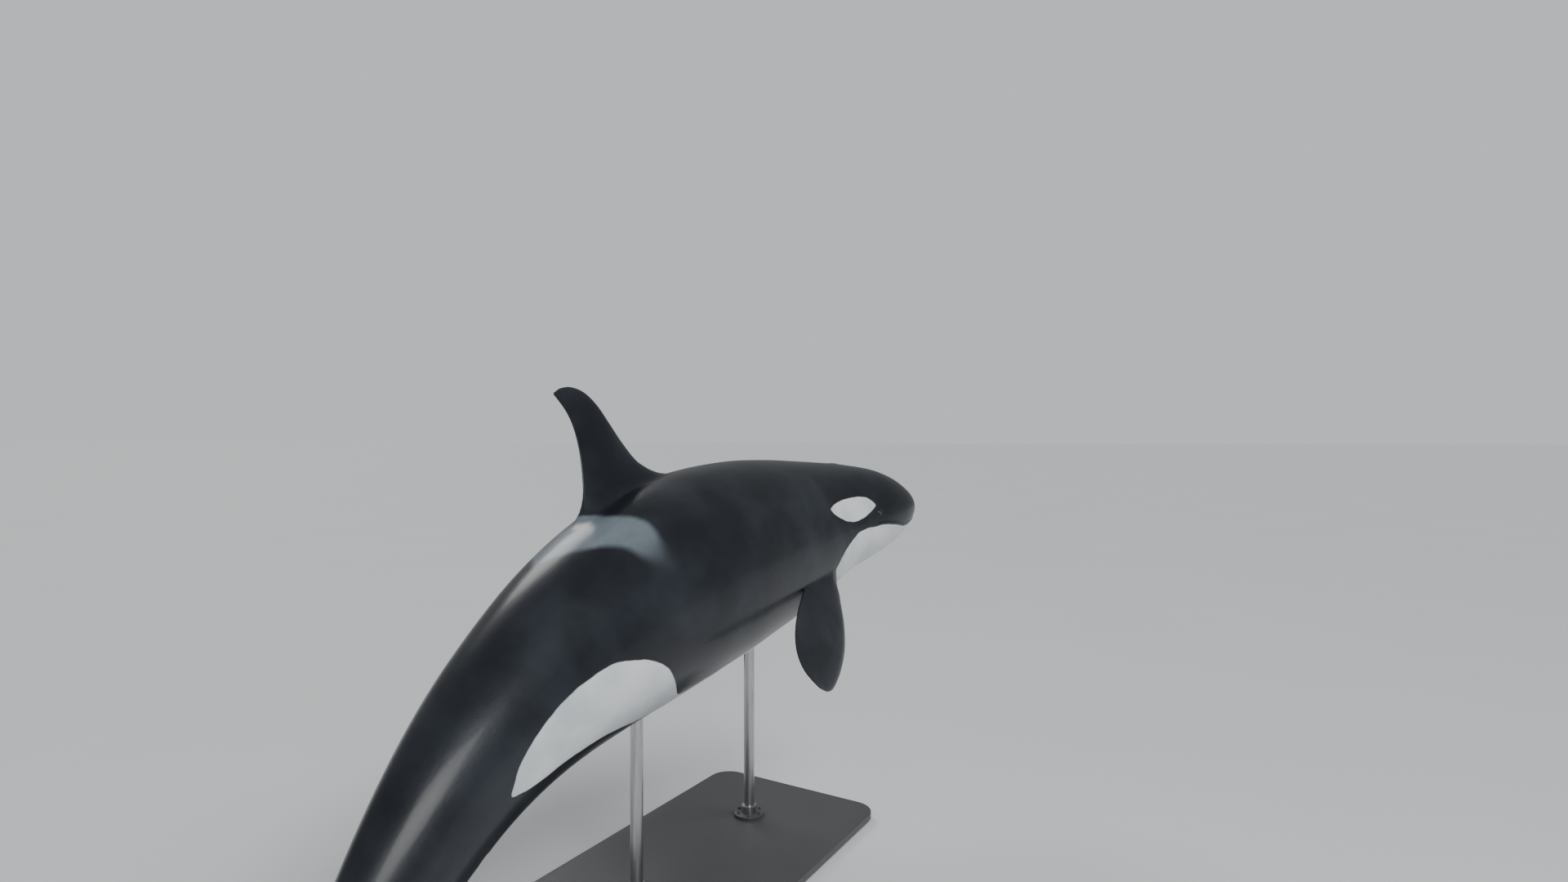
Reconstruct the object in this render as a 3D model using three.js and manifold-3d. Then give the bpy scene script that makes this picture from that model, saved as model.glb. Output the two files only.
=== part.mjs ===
// Orca at life size, swimming, held on a plain display stand.
// Millimetres, +Z up. The origin is the middle of the stand's underside and the trunk faces +X.

import * as THREE from 'three';
import { LoftGeometry } from 'three/addons/geometries/LoftGeometry.js';
import { mergeVertices } from 'three/addons/utils/BufferGeometryUtils.js';
import loadManifold from 'manifold-3d';

const wasm = await loadManifold();
wasm.setup();

// Driving dimensions, in millimetres and degrees
const bodyLength = 6000; // snout to the notch between the flukes
const trunkCentre = new THREE.Vector3(60, 70, 1960);
const trunkStation = 0.4; // the place along the body that trunkCentre fixes
const noseUp = 6.6;
const leftSideDown = 11.5;
const seam = 0.3; // gap between pieces that touch

const trunkSides = 32;
const trunkRings = 44;
const ringCrowding = 1.6; // rings crowd towards the snout
const bladeSides = 14;
const bladeSteps = 18;

// Stations run from the snout (0) to the notch between the flukes (1)
const neckStation = 0.17;
const chestEnd = 0.33;
const bellyEnd = 0.58;
const hindEnd = 0.76;
const stockEnd = 0.885;

// Outline of the trunk in body lengths: station, back, belly, half width, and the section's power
const outline = [
  [0.0, 0.0, 0.0, 0.0, 2.0],
  [0.004, 0.0115, 0.0105, 0.0145, 2.0],
  [0.012, 0.0215, 0.0192, 0.0245, 2.0],
  [0.025, 0.0335, 0.0298, 0.035, 2.05],
  [0.045, 0.0476, 0.0408, 0.046, 2.1],
  [0.075, 0.0617, 0.0522, 0.0575, 2.15],
  [0.11, 0.0718, 0.06, 0.067, 2.2],
  [0.15, 0.0808, 0.0675, 0.076, 2.2],
  [0.2, 0.0897, 0.0822, 0.0845, 2.2],
  [0.26, 0.0985, 0.098, 0.092, 2.2],
  [0.33, 0.1045, 0.106, 0.096, 2.2],
  [0.4, 0.106, 0.11, 0.097, 2.2],
  [0.47, 0.1045, 0.108, 0.093, 2.15],
  [0.54, 0.096, 0.1005, 0.0845, 2.1],
  [0.61, 0.0845, 0.0865, 0.0735, 2.05],
  [0.69, 0.0685, 0.0685, 0.0575, 1.95],
  [0.77, 0.0535, 0.0535, 0.0415, 1.85],
  [0.84, 0.0425, 0.0415, 0.029, 1.8],
  [0.9, 0.033, 0.032, 0.0215, 1.8],
  [0.95, 0.0205, 0.0195, 0.018, 1.9],
  [0.985, 0.0095, 0.0095, 0.015, 2.0],
  [1.0, 0.003, 0.003, 0.005, 2.0],
];

// Bend of the body, in degrees: station, pitch with the nose up, yaw with the nose to the left
const bend = [
  [0.0, -5, -26],
  [0.1, -3, -25],
  [0.2, -3, -15],
  [0.32, -2, -2],
  [0.44, 4, 1],
  [0.56, 11, 3],
  [0.68, 20, 2],
  [0.8, 36, 1],
  [0.88, 42, 1],
  [0.94, 37, 1],
  [1.0, 25, 1],
];

// Mouth line: station, height of the line from the axis in body lengths
const mouthCorner = 0.119;
const mouthLine = [
  [-0.02, -0.0135],
  [0.006, -0.015],
  [0.025, -0.0215],
  [0.05, -0.0248],
  [0.08, -0.0187],
  [0.105, -0.0143],
  [0.13, -0.0131],
];
const lipRadius = 13;
const lipSpacing = 10; // each lip's middle from the mouth line

const eyeStation = 0.112;
const eyeAngle = 2;
const eyeRadius = 27;
const lidRadius = 9;

// Markings, set flush into the skin: station, then the lower and the upper edge as skin angles
const markingDepth = 25;
const eyePatchEdges = [
  [0.121, 7.4, 11],
  [0.127, 6, 14.4],
  [0.136, 3.4, 17.8],
  [0.152, 1, 18.8],
  [0.175, 0, 18.4],
  [0.195, 1.1, 17.4],
  [0.212, 4, 15.6],
  [0.226, 7.4, 13.4],
  [0.2325, 9.8, 12.4],
];
const undersideEdges = [
  [0.115, -167, -13],
  [0.15, -170.6, -9.4],
  [0.17, -170.2, -9.8],
  [0.186, -167.4, -12.6],
  [0.206, -162, -18],
  [0.222, -156, -24],
  [0.236, -148.5, -31.5],
  [0.25, -139, -41],
  [0.27, -130, -50],
  [0.3, -123, -57],
  [0.36, -119, -61],
  [0.53, -117, -63],
  [0.58, -113, -67],
  [0.62, -104, -76],
  [0.645, -94, -86],
];
const flankEdges = [
  [0.545, -66, -61],
  [0.56, -66, -52],
  [0.569, -65, -41],
  [0.581, -62, -27],
  [0.594, -60, -18],
  [0.616, -55, -8],
  [0.637, -51, -1],
  [0.659, -48, 2],
  [0.684, -44.5, 3.6],
  [0.704, -41, 2.4],
  [0.722, -38.5, -0.8],
  [0.74, -33, -7],
  [0.751, -27, -15],
  [0.756, -23.5, -20],
];
// The saddle patch crosses the back: skin angle, then its front and its rear edge as stations
const saddleEdges = [
  [22.5, 0.537, 0.5415],
  [29, 0.536, 0.552],
  [37, 0.5305, 0.557],
  [45, 0.5265, 0.5605],
  [54, 0.525, 0.569],
  [65, 0.53, 0.584],
  [76, 0.5365, 0.594],
  [90, 0.541, 0.604],
];

const blowholeStation = 0.128;
const blowholeWidth = 96;

const black = { color: 0x10141a, roughness: 0.35, metalness: 0 };
const white = { color: 0xe6e9ea, roughness: 0.4, metalness: 0 };
const grey = { color: 0x6d7882, roughness: 0.45, metalness: 0 };
const eyeDark = { color: 0x140f0c, roughness: 0.1, metalness: 0 };
const standPaint = { color: 0x3a3d40, roughness: 0.55, metalness: 0 };
const rodSteel = { color: 0xb4b8bb, roughness: 0.3, metalness: 1 };

/** A monotone cubic through the points (x, y), with no overshoot between them. */
function smoothCurve(xs, ys) {
  const steps = xs.slice(1).map((x, i) => x - xs[i]);
  const slopes = steps.map((step, i) => (ys[i + 1] - ys[i]) / step);
  const inner = slopes.slice(1).map((slope, i) => {
    if (slope * slopes[i] <= 0) return 0;
    const before = 2 * steps[i + 1] + steps[i];
    const after = steps[i + 1] + 2 * steps[i];
    return (before + after) / (before / slopes[i] + after / slope);
  });
  const tangents = [slopes[0], ...inner, slopes[slopes.length - 1]];
  return (x) => {
    const held = THREE.MathUtils.clamp(x, xs[0], xs[xs.length - 1]);
    let i = xs.findIndex((knot) => knot > held) - 1;
    if (i < 0) i = steps.length - 1;
    const u = (held - xs[i]) / steps[i];
    const rise = ys[i + 1] - ys[i];
    const start = tangents[i] * steps[i];
    const end = tangents[i + 1] * steps[i];
    return ys[i] + u * (start + u * (3 * rise - 2 * start - end + u * (start + end - 2 * rise)));
  };
}

const column = (table, k) => smoothCurve(table.map((row) => row[0]), table.map((row) => row[k]));
const backHeight = column(outline, 1);
const bellyHeight = column(outline, 2);
const halfWidth = column(outline, 3);
const sectionPower = column(outline, 4);
const pitchAt = column(bend, 1);
const yawAt = column(bend, 2);
const mouthHeight = column(mouthLine, 1);

const standTurn = new THREE.Quaternion().setFromEuler(new THREE.Euler(
  THREE.MathUtils.degToRad(-leftSideDown),
  THREE.MathUtils.degToRad(-noseUp),
  0,
  'YXZ',
));

/** Unit vectors of the body at a station: forward, left and up. */
function axesAt(station) {
  const pitch = THREE.MathUtils.degToRad(pitchAt(station));
  const yaw = THREE.MathUtils.degToRad(yawAt(station));
  const forward = new THREE.Vector3(
    Math.cos(pitch) * Math.cos(yaw),
    Math.cos(pitch) * Math.sin(yaw),
    Math.sin(pitch),
  );
  const left = new THREE.Vector3(-Math.sin(yaw), Math.cos(yaw), 0);
  const up = forward.clone().cross(left);
  [forward, left, up].forEach((axis) => axis.applyQuaternion(standTurn));
  return { forward, left, up };
}

// Points of the axis, summed backwards from the snout in short steps and then moved to trunkCentre
const axisSteps = 600;
const axisPoints = [new THREE.Vector3()];
for (let i = 0; i < axisSteps; i += 1) {
  const { forward } = axesAt((i + 0.5) / axisSteps);
  axisPoints.push(axisPoints[i].clone().addScaledVector(forward, -bodyLength / axisSteps));
}
const axisShift = trunkCentre.clone().sub(axisPoints[trunkStation * axisSteps]);
axisPoints.forEach((point) => point.add(axisShift));

/** The axis at a station, with its directions; it runs on straight past both ends. */
function frameAt(station) {
  const held = THREE.MathUtils.clamp(station, 0, 1);
  const i = Math.min(Math.floor(held * axisSteps), axisSteps - 1);
  const axes = axesAt(held);
  const at = axisPoints[i].clone().lerp(axisPoints[i + 1], held * axisSteps - i);
  at.addScaledVector(axes.forward, (held - station) * bodyLength);
  return { at, ...axes };
}

/** A point beside the axis: this far to the left and this far up, in millimetres. */
function beside(frame, toLeft, upward) {
  return frame.at.clone().addScaledVector(frame.left, toLeft).addScaledVector(frame.up, upward);
}

/** A point of the skin. The angle runs from the right flank (0) over the back (90). */
function skinPoint(station, angle, outward = 0) {
  const cosine = Math.cos(THREE.MathUtils.degToRad(angle));
  const sine = Math.sin(THREE.MathUtils.degToRad(angle));
  const power = 2 / sectionPower(station);
  const height = (sine > 0 ? backHeight(station) : bellyHeight(station)) * bodyLength + outward;
  const width = halfWidth(station) * bodyLength + outward;
  return beside(
    frameAt(station),
    -width * Math.sign(cosine) * Math.abs(cosine) ** power,
    height * Math.sign(sine) * Math.abs(sine) ** power,
  );
}

/** The direction straight out of the skin at a station and angle. */
function skinNormal(station, angle) {
  const small = 0.002;
  const along = skinPoint(station - small, angle).sub(skinPoint(station + small, angle));
  const around = skinPoint(station, angle + 1).sub(skinPoint(station, angle - 1));
  return along.cross(around).normalize();
}

/** A closed solid from a three.js geometry. */
function solidOf(geometry) {
  geometry.deleteAttribute('normal');
  geometry.deleteAttribute('uv');
  const merged = mergeVertices(geometry, 1e-3);
  return new wasm.Manifold(new wasm.Mesh({
    numProp: 3,
    vertProperties: new Float32Array(merged.attributes.position.array),
    triVerts: new Uint32Array(merged.index.array),
  }));
}

/** The largest closed piece of a solid. */
function largestPiece(solid) {
  return solid.decompose().reduce((best, piece) => (piece.volume() > best.volume() ? piece : best));
}

/** A loft through rings of points, closed at both ends. */
function loft(rings) {
  return solidOf(new LoftGeometry(rings, { capStart: true, capEnd: true }));
}

const orca = new THREE.Group();

/** Adds a solid to the model as a named mesh with its own material. */
function addPiece(name, solid, finish) {
  const { vertProperties, triVerts } = largestPiece(solid).getMesh();
  const geometry = new THREE.BufferGeometry();
  geometry.setAttribute('position', new THREE.BufferAttribute(vertProperties, 3));
  geometry.setIndex(new THREE.BufferAttribute(triVerts, 1));
  geometry.computeVertexNormals();
  const mesh = new THREE.Mesh(geometry, new THREE.MeshStandardMaterial(finish));
  mesh.name = name;
  orca.add(mesh);
}

// Trunk, lofted through rings along the axis

const halfSeam = seam / 2 / bodyLength;
const seamStations = [neckStation, chestEnd, bellyEnd, hindEnd, stockEnd];
const clearOfSeam = 0.006;
const firstStation = 0.0005;

const plainStations = Array.from({ length: trunkRings + 1 }, (_, i) => (
  Math.max((i / trunkRings) ** ringCrowding, firstStation)
));
const trunkStations = plainStations
  .filter((station) => seamStations.every((cut) => Math.abs(cut - station) > clearOfSeam))
  .concat(seamStations.flatMap((cut) => [cut - halfSeam, cut + halfSeam]))
  .sort((a, b) => a - b);

/** The trunk between two stations, swelled outward by a few tenths where a neighbour is cut by it. */
function trunkLength(from, to, outward = 0) {
  const rings = trunkStations
    .filter((station) => station >= from && station <= to)
    .map((station) => Array.from({ length: trunkSides }, (_, j) => (
      skinPoint(station, (j / trunkSides) * 360, outward)
    )));
  return loft(rings);
}

const exactTrunk = trunkLength(0, 1);
const swollenTrunk = trunkLength(0, 1, seam);

// Markings

const slabProud = 60;

/** A closed ring of a slab: a row of [station, angle] places outside the skin and one under it. */
function slabRing(places, grow) {
  const outer = places.map(([station, angle]) => skinPoint(station, angle, slabProud));
  const inner = places.map(([station, angle]) => skinPoint(station, angle, -markingDepth - grow));
  return [...outer, ...inner.reverse()];
}

/** A slab of skin that runs along the body between a lower and an upper edge. */
function slabAlong(edges, steps, across, grow, mirrored = false) {
  const lower = column(edges, 1);
  const upper = column(edges, 2);
  const from = edges[0][0] - grow / bodyLength;
  const to = edges[edges.length - 1][0] + grow / bodyLength;
  const rings = Array.from({ length: steps + 1 }, (_, i) => {
    const station = THREE.MathUtils.lerp(from, to, i / steps);
    const turn = THREE.MathUtils.radToDeg(grow / (halfWidth(station) * bodyLength));
    const places = Array.from({ length: across + 1 }, (_unused, j) => {
      const angle = THREE.MathUtils.lerp(lower(station) - turn, upper(station) + turn, j / across);
      return [station, mirrored ? 180 - angle : angle];
    });
    return slabRing(mirrored ? places.reverse() : places, grow);
  });
  return loft(rings);
}

/** The slab of the saddle patch, from its right tip over the back to its left tip. */
function saddleSlab(grow) {
  const front = column(saddleEdges, 1);
  const rear = column(saddleEdges, 2);
  const steps = 22;
  const tip = saddleEdges[0][0] - THREE.MathUtils.radToDeg(grow / (halfWidth(0.54) * bodyLength));
  const rings = Array.from({ length: steps + 1 }, (_, i) => {
    const angle = THREE.MathUtils.lerp(tip, 180 - tip, i / steps);
    const rightAngle = Math.min(angle, 180 - angle);
    const margin = grow / bodyLength;
    return slabRing([
      [rear(rightAngle) + margin, angle],
      [front(rightAngle) - margin, angle],
    ], grow);
  });
  return loft(rings);
}

const undersideSlab = (grow) => slabAlong(undersideEdges, 28, 9, grow)
  .add(slabAlong(flankEdges, 16, 3, grow))
  .add(slabAlong(flankEdges, 16, 3, grow, true));
const eyePatchSlab = (grow, mirrored) => slabAlong(eyePatchEdges, 9, 2, grow, mirrored);
const markingSpace = undersideSlab(seam)
  .add(eyePatchSlab(seam, false))
  .add(eyePatchSlab(seam, true))
  .add(saddleSlab(seam));

// Head, with lips along the mouth line, lidded eyes and the blowhole

/** The angle at which the skin stands at the mouth line, on the right side. */
function mouthAngle(station) {
  const share = Math.min(1, -mouthHeight(station) / bellyHeight(station));
  return -THREE.MathUtils.radToDeg(Math.asin(share ** (sectionPower(station) / 2)));
}

/** A soft roll of skin along the mouth line, this far above or below it. */
function lipRoll(offset) {
  const lipFront = 0.0095;
  const turns = 12;
  const side = Array.from({ length: turns }, (_, i) => (
    THREE.MathUtils.lerp(mouthCorner - 0.002, lipFront, (i / (turns - 1)) ** 0.75)
  ));
  const inward = -lipRadius * 0.7;
  const right = side.map((station) => skinPoint(station, mouthAngle(station), inward));
  const left = side.map((station) => skinPoint(station, 180 - mouthAngle(station), inward));
  const path = [...right, ...left.reverse()];
  path.forEach((point) => point.addScaledVector(axesAt(0.03).up, offset));
  const circle = new THREE.Shape().absarc(0, 0, lipRadius, 0, Math.PI * 2, false);
  return solidOf(new THREE.ExtrudeGeometry(circle, {
    steps: 36,
    curveSegments: 3,
    bevelEnabled: false,
    extrudePath: new THREE.CatmullRomCurve3(path),
  }));
}

/** The space under the mouth line, from ahead of the snout to the corner of the mouth. */
function belowMouth(grow) {
  const farOut = 500;
  const steps = 16;
  const rings = Array.from({ length: steps + 1 }, (_, i) => {
    const station = THREE.MathUtils.lerp(-0.02, mouthCorner + grow / bodyLength, i / steps);
    const frame = frameAt(station);
    const top = mouthHeight(station) * bodyLength + grow;
    return [
      beside(frame, -farOut, -farOut),
      beside(frame, -farOut, top),
      beside(frame, farOut, top),
      beside(frame, farOut, -farOut),
    ];
  });
  return loft(rings);
}

/** Turns a geometry so that its X points forward and its Z out of the skin, and moves it there. */
function onSkin(geometry, station, angle, outward) {
  const normal = skinNormal(station, angle);
  const forward = axesAt(station).forward;
  forward.addScaledVector(normal, -forward.dot(normal)).normalize();
  const across = normal.clone().cross(forward);
  const place = new THREE.Matrix4().makeBasis(forward, across, normal);
  place.setPosition(skinPoint(station, angle).addScaledVector(normal, outward));
  return solidOf(geometry.applyMatrix4(place));
}

const eyeSink = eyeRadius * 0.72;
const bodySides = [['right', 1], ['left', -1]];
const onSide = (angle, mirror) => (mirror === 1 ? angle : 180 - angle);

let head = trunkLength(0, neckStation - halfSeam / 2);
head = head.add(lipRoll(lipSpacing)).add(lipRoll(-lipSpacing));

bodySides.forEach(([side, mirror]) => {
  const angle = onSide(eyeAngle, mirror);
  const lids = new THREE.TorusGeometry(eyeRadius, lidRadius, 6, 16).scale(1.3, 0.8, 1);
  const ball = new THREE.SphereGeometry(eyeRadius, 14, 10);
  const socket = new THREE.SphereGeometry(eyeRadius + seam, 14, 10);
  head = head.add(onSkin(lids, eyeStation, angle, 0));
  head = head.subtract(onSkin(socket, eyeStation, angle, -eyeSink));
  addPiece(`eye_${side}`, onSkin(ball, eyeStation, angle, -eyeSink), eyeDark);
});

/** The blowhole's slit: a crescent with its hollow side forward. */
function blowholeSlit() {
  const half = blowholeWidth / 2;
  const crescent = new THREE.Shape();
  crescent.moveTo(half * 0.35, -half);
  crescent.quadraticCurveTo(-half * 1.1, 0, half * 0.35, half);
  crescent.quadraticCurveTo(-half * 0.7, 0, half * 0.35, -half);
  const deep = 40;
  const slit = new THREE.ExtrudeGeometry(crescent, { depth: deep, curveSegments: 7, bevelEnabled: false });
  return onSkin(slit, blowholeStation, 90, -deep / 2);
}

const blowholeRim = new THREE.SphereGeometry(blowholeWidth * 0.85, 18, 8).scale(1, 1, 0.14);
head = head.add(onSkin(blowholeRim, blowholeStation, 90, 0)).subtract(blowholeSlit());

addPiece('head', head.subtract(belowMouth(seam)).subtract(markingSpace), black);
addPiece('lower_jaw', head.intersect(belowMouth(0)), white);

// Chest, belly, hind body and tail stock, with the markings let into them
addPiece('chest', trunkLength(neckStation, chestEnd).subtract(markingSpace), black);
addPiece('belly_trunk', trunkLength(chestEnd, bellyEnd).subtract(markingSpace), black);
addPiece('hind_trunk', trunkLength(bellyEnd, hindEnd).subtract(markingSpace), black);
addPiece('tail_stock_front', trunkLength(hindEnd, stockEnd), black);
addPiece('tail_stock_rear', trunkLength(stockEnd, 1), black);
addPiece('white_underside', exactTrunk.intersect(undersideSlab(0)).subtract(belowMouth(seam)), white);
addPiece('eye_patch_right', exactTrunk.intersect(eyePatchSlab(0, false)), white);
addPiece('eye_patch_left', exactTrunk.intersect(eyePatchSlab(0, true)), white);
addPiece('saddle_patch', exactTrunk.intersect(saddleSlab(0)), grey);

// Fins and flukes: blades lofted between a leading and a trailing edge

/**
 * A blade in the plane of two directions, forward and out from its root. Its edges are lists of
 * [forward, out] pairs, and thickness and lift are functions of the fraction from root to tip.
 */
function blade({ root, forward, out, lead, trail, thickness, lift = () => 0 }) {
  const normal = out.clone().cross(forward).normalize();
  const leadCurve = new THREE.SplineCurve(lead.map(([x, y]) => new THREE.Vector2(x, y)));
  const trailCurve = new THREE.SplineCurve(trail.map(([x, y]) => new THREE.Vector2(x, y)));
  const rings = Array.from({ length: bladeSteps + 1 }, (_, i) => {
    const share = i / bladeSteps;
    const front = leadCurve.getPoint(share);
    const rear = trailCurve.getPoint(share);
    const thick = thickness(share);
    return Array.from({ length: bladeSides }, (_unused, j) => {
      const turn = (j / bladeSides) * Math.PI * 2;
      const along = rear.clone().lerp(front, (1 + Math.cos(turn)) / 2);
      const bulge = (thick / 2) * Math.sin(turn) * (0.8 + 0.3 * Math.cos(turn));
      return root.clone()
        .addScaledVector(forward, along.x)
        .addScaledVector(out, along.y)
        .addScaledVector(normal, bulge + lift(share));
    });
  });
  return loft(rings);
}

const dorsalFrame = frameAt(0.48);
addPiece('dorsal_fin', blade({
  root: dorsalFrame.at,
  forward: dorsalFrame.forward,
  out: dorsalFrame.up,
  lead: [
    [430, 480], [330, 655], [194, 765], [110, 905], [51, 1042],
    [-6, 1170], [-80, 1262], [-172, 1310.5], [-260, 1319], [-312, 1304.5],
  ],
  trail: [
    [-430, 480], [-385, 612], [-330, 725], [-278, 885], [-256, 1015],
    [-256, 1110], [-274, 1187], [-299, 1242], [-315, 1272], [-326, 1290],
  ],
  thickness: (share) => 14 + 120 * (1 - share) ** 1.4,
}).subtract(swollenTrunk), black);

const pectoralStation = 0.266;
const pectoralAngle = -36;
const pectoralTwist = 17; // the leading edge turns inward
const pectoralLead = [[150, -90], [170, 60], [203, 260], [188, 480], [118, 700], [8, 905], [-120, 1007]];
const pectoralTrail = [[-170, -90], [-190, 60], [-248, 260], [-316, 480], [-354, 690], [-336, 885], [-215, 1005]];

bodySides.forEach(([side, mirror]) => {
  const frame = frameAt(pectoralStation);
  const out = new THREE.Vector3()
    .addScaledVector(frame.left, -0.37 * mirror)
    .addScaledVector(frame.up, -0.62)
    .addScaledVector(frame.forward, -0.69)
    .normalize();
  const forward = frame.forward.clone().addScaledVector(out, -frame.forward.dot(out)).normalize();
  forward.applyAxisAngle(out, THREE.MathUtils.degToRad(-pectoralTwist * mirror));
  addPiece(`pectoral_fin_${side}`, blade({
    root: skinPoint(pectoralStation, onSide(pectoralAngle, mirror)),
    forward,
    out,
    lead: pectoralLead,
    trail: pectoralTrail,
    thickness: (share) => 14 + 96 * (1 - share) ** 1.2,
    lift: (share) => mirror * 60 * share * share,
  }).subtract(swollenTrunk), black);
});

const flukeStation = 0.955;
const flukeLift = 4; // the flukes lie flatter than the tail stock
const flukeFrame = frameAt(flukeStation);
const flukeTurn = new THREE.Quaternion().setFromAxisAngle(
  flukeFrame.left,
  THREE.MathUtils.degToRad(flukeLift),
);
const flukeForward = flukeFrame.forward.clone().applyQuaternion(flukeTurn);

bodySides.forEach(([side, mirror]) => {
  addPiece(`fluke_${side}`, blade({
    root: flukeFrame.at,
    forward: flukeForward,
    out: flukeFrame.left.clone().multiplyScalar(-mirror),
    lead: [
      [250, seam / 2], [185, 110], [85, 260], [-15, 420],
      [-125, 570], [-235, 690], [-340, 770], [-420, 802],
    ],
    trail: [
      [-262, seam / 2], [-318, 110], [-322, 260], [-305, 420],
      [-300, 560], [-330, 680], [-385, 765], [-432, 800],
    ],
    thickness: (share) => 10 + 76 * (1 - share) ** 1.3,
    lift: (share) => mirror * 50 * share * share,
  }).subtract(swollenTrunk), black);
});

// Display stand: a flat base and two rods up to the belly

const baseLength = 2500;
const baseWidth = 1400;
const baseThickness = 60;
const baseCorner = 160;
const baseBevel = 8;
const rodRadius = 38;
const footRadius = 110;
const footThickness = 22;
const footBevel = 5;
const rodReach = 2000;
const rodStations = { front: 0.3, rear: 0.51 };

const basePlan = new THREE.Shape();
const planX = baseLength / 2 - baseBevel;
const planY = baseWidth / 2 - baseBevel;
basePlan.moveTo(-planX + baseCorner, -planY);
basePlan.lineTo(planX - baseCorner, -planY);
basePlan.absarc(planX - baseCorner, -planY + baseCorner, baseCorner, -Math.PI / 2, 0, false);
basePlan.absarc(planX - baseCorner, planY - baseCorner, baseCorner, 0, Math.PI / 2, false);
basePlan.absarc(-planX + baseCorner, planY - baseCorner, baseCorner, Math.PI / 2, Math.PI, false);
basePlan.absarc(-planX + baseCorner, -planY + baseCorner, baseCorner, Math.PI, Math.PI * 1.5, false);
const base = new THREE.ExtrudeGeometry(basePlan, {
  depth: baseThickness - 2 * baseBevel,
  bevelThickness: baseBevel,
  bevelSize: baseBevel,
  bevelSegments: 2,
  curveSegments: 4,
}).translate(0, 0, baseBevel);
addPiece('stand_base', solidOf(base), standPaint);

Object.entries(rodStations).forEach(([end, station]) => {
  const { x, y } = frameAt(station).at;
  const footBottom = baseThickness + seam;
  const rodBottom = footBottom + footThickness + seam;
  const footProfile = [[0, 0], [footRadius, 0], [footRadius, footThickness - footBevel],
    [footRadius - footBevel, footThickness], [0, footThickness]];
  const rodProfile = [[0, 0], [rodRadius, 0], [rodRadius, rodReach], [0, rodReach]];
  const turned = (profile, bottom) => solidOf(
    new THREE.LatheGeometry(profile.map((pair) => new THREE.Vector2(...pair)), 24)
      .rotateX(Math.PI / 2)
      .translate(x, y, bottom),
  );
  addPiece(`stand_foot_${end}`, turned(footProfile, footBottom), standPaint);
  addPiece(`stand_rod_${end}`, turned(rodProfile, rodBottom).subtract(swollenTrunk), rodSteel);
});

export default orca;
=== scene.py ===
"""The looks of a life-size orca on its display stand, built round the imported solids.

Lengths are metres and angles are degrees, unless a name says otherwise. A place on the skin is a
station, from the snout (0) to the notch between the flukes (1), and an angle round the body: the
right flank is 0, the back 90, the left flank 180 and the belly 270 or -90.
"""

import logging
import math
from collections.abc import Callable, Iterable, Sequence
from dataclasses import dataclass
from enum import Enum
from typing import NamedTuple

import bmesh
import bpy
from bmesh.types import BMesh, BMVert
from bpy.types import ID, Material, Node, NodeSocket, NodeTree, Object
from mathutils import Matrix, Vector
from mathutils.kdtree import KDTree


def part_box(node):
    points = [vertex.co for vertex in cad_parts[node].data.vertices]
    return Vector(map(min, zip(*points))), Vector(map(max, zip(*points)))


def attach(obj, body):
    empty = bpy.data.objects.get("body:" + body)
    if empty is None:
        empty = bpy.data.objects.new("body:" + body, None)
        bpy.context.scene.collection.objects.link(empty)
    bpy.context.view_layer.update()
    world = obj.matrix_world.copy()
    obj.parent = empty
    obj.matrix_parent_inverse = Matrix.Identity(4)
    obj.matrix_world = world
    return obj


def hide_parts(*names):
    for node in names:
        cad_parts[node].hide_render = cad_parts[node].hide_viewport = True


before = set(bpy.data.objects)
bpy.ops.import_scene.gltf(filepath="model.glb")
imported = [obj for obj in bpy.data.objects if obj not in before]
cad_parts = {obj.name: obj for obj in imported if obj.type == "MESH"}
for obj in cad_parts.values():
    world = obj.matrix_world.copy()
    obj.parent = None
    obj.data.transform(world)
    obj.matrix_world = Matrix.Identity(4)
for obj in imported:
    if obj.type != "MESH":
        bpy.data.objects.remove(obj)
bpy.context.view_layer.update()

LOG = logging.getLogger("orca")
MM = 0.001

CIRCLE = 2 * math.pi
COARSE = 1.0  # a size of face that asks for nothing finer

Table = tuple[tuple[float, ...], ...]
Outline = tuple[tuple[float, float], ...]
Colour = tuple[float, float, float, float]


class Place(NamedTuple):
    """A place on the skin."""

    station: float
    angle: float


class Side(Enum):
    """A side of the animal, with the sign that mirrors it."""

    RIGHT = 1
    LEFT = -1

    def angle(self, right_angle: float) -> float:
        """The skin angle on this side that mirrors one on the right."""
        return right_angle if self is Side.RIGHT else 180 - right_angle


def smoothstep(low: float, high: float, value: float) -> float:
    """A soft step from 0 at low to 1 at high.

    Args:
        low: where the step starts; it may be above high for a falling step.
        high: where the step ends.
        value: the place to read.

    Returns:
        The height of the step at value.
    """
    share = min(max((value - low) / (high - low), 0.0), 1.0)
    return share * share * (3 - 2 * share)


def bell(distance: float, width: float) -> float:
    """A bell curve of height 1 that falls off over width."""
    return math.exp(-((distance / width) ** 2))


def mix(start: float, end: float, share: float) -> float:
    """The value at a share of the way from start to end."""
    return start + (end - start) * share


def turn_between(start: float, end: float, circle: float = 360.0) -> float:
    """The shortest turn from one direction to another, in parts of a circle."""
    return (end - start + circle / 2) % circle - circle / 2


def middle_of(verts: Sequence[BMVert]) -> Vector:
    """The middle of some points of a mesh."""
    return sum((vert.co for vert in verts), Vector()) / len(verts)


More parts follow.
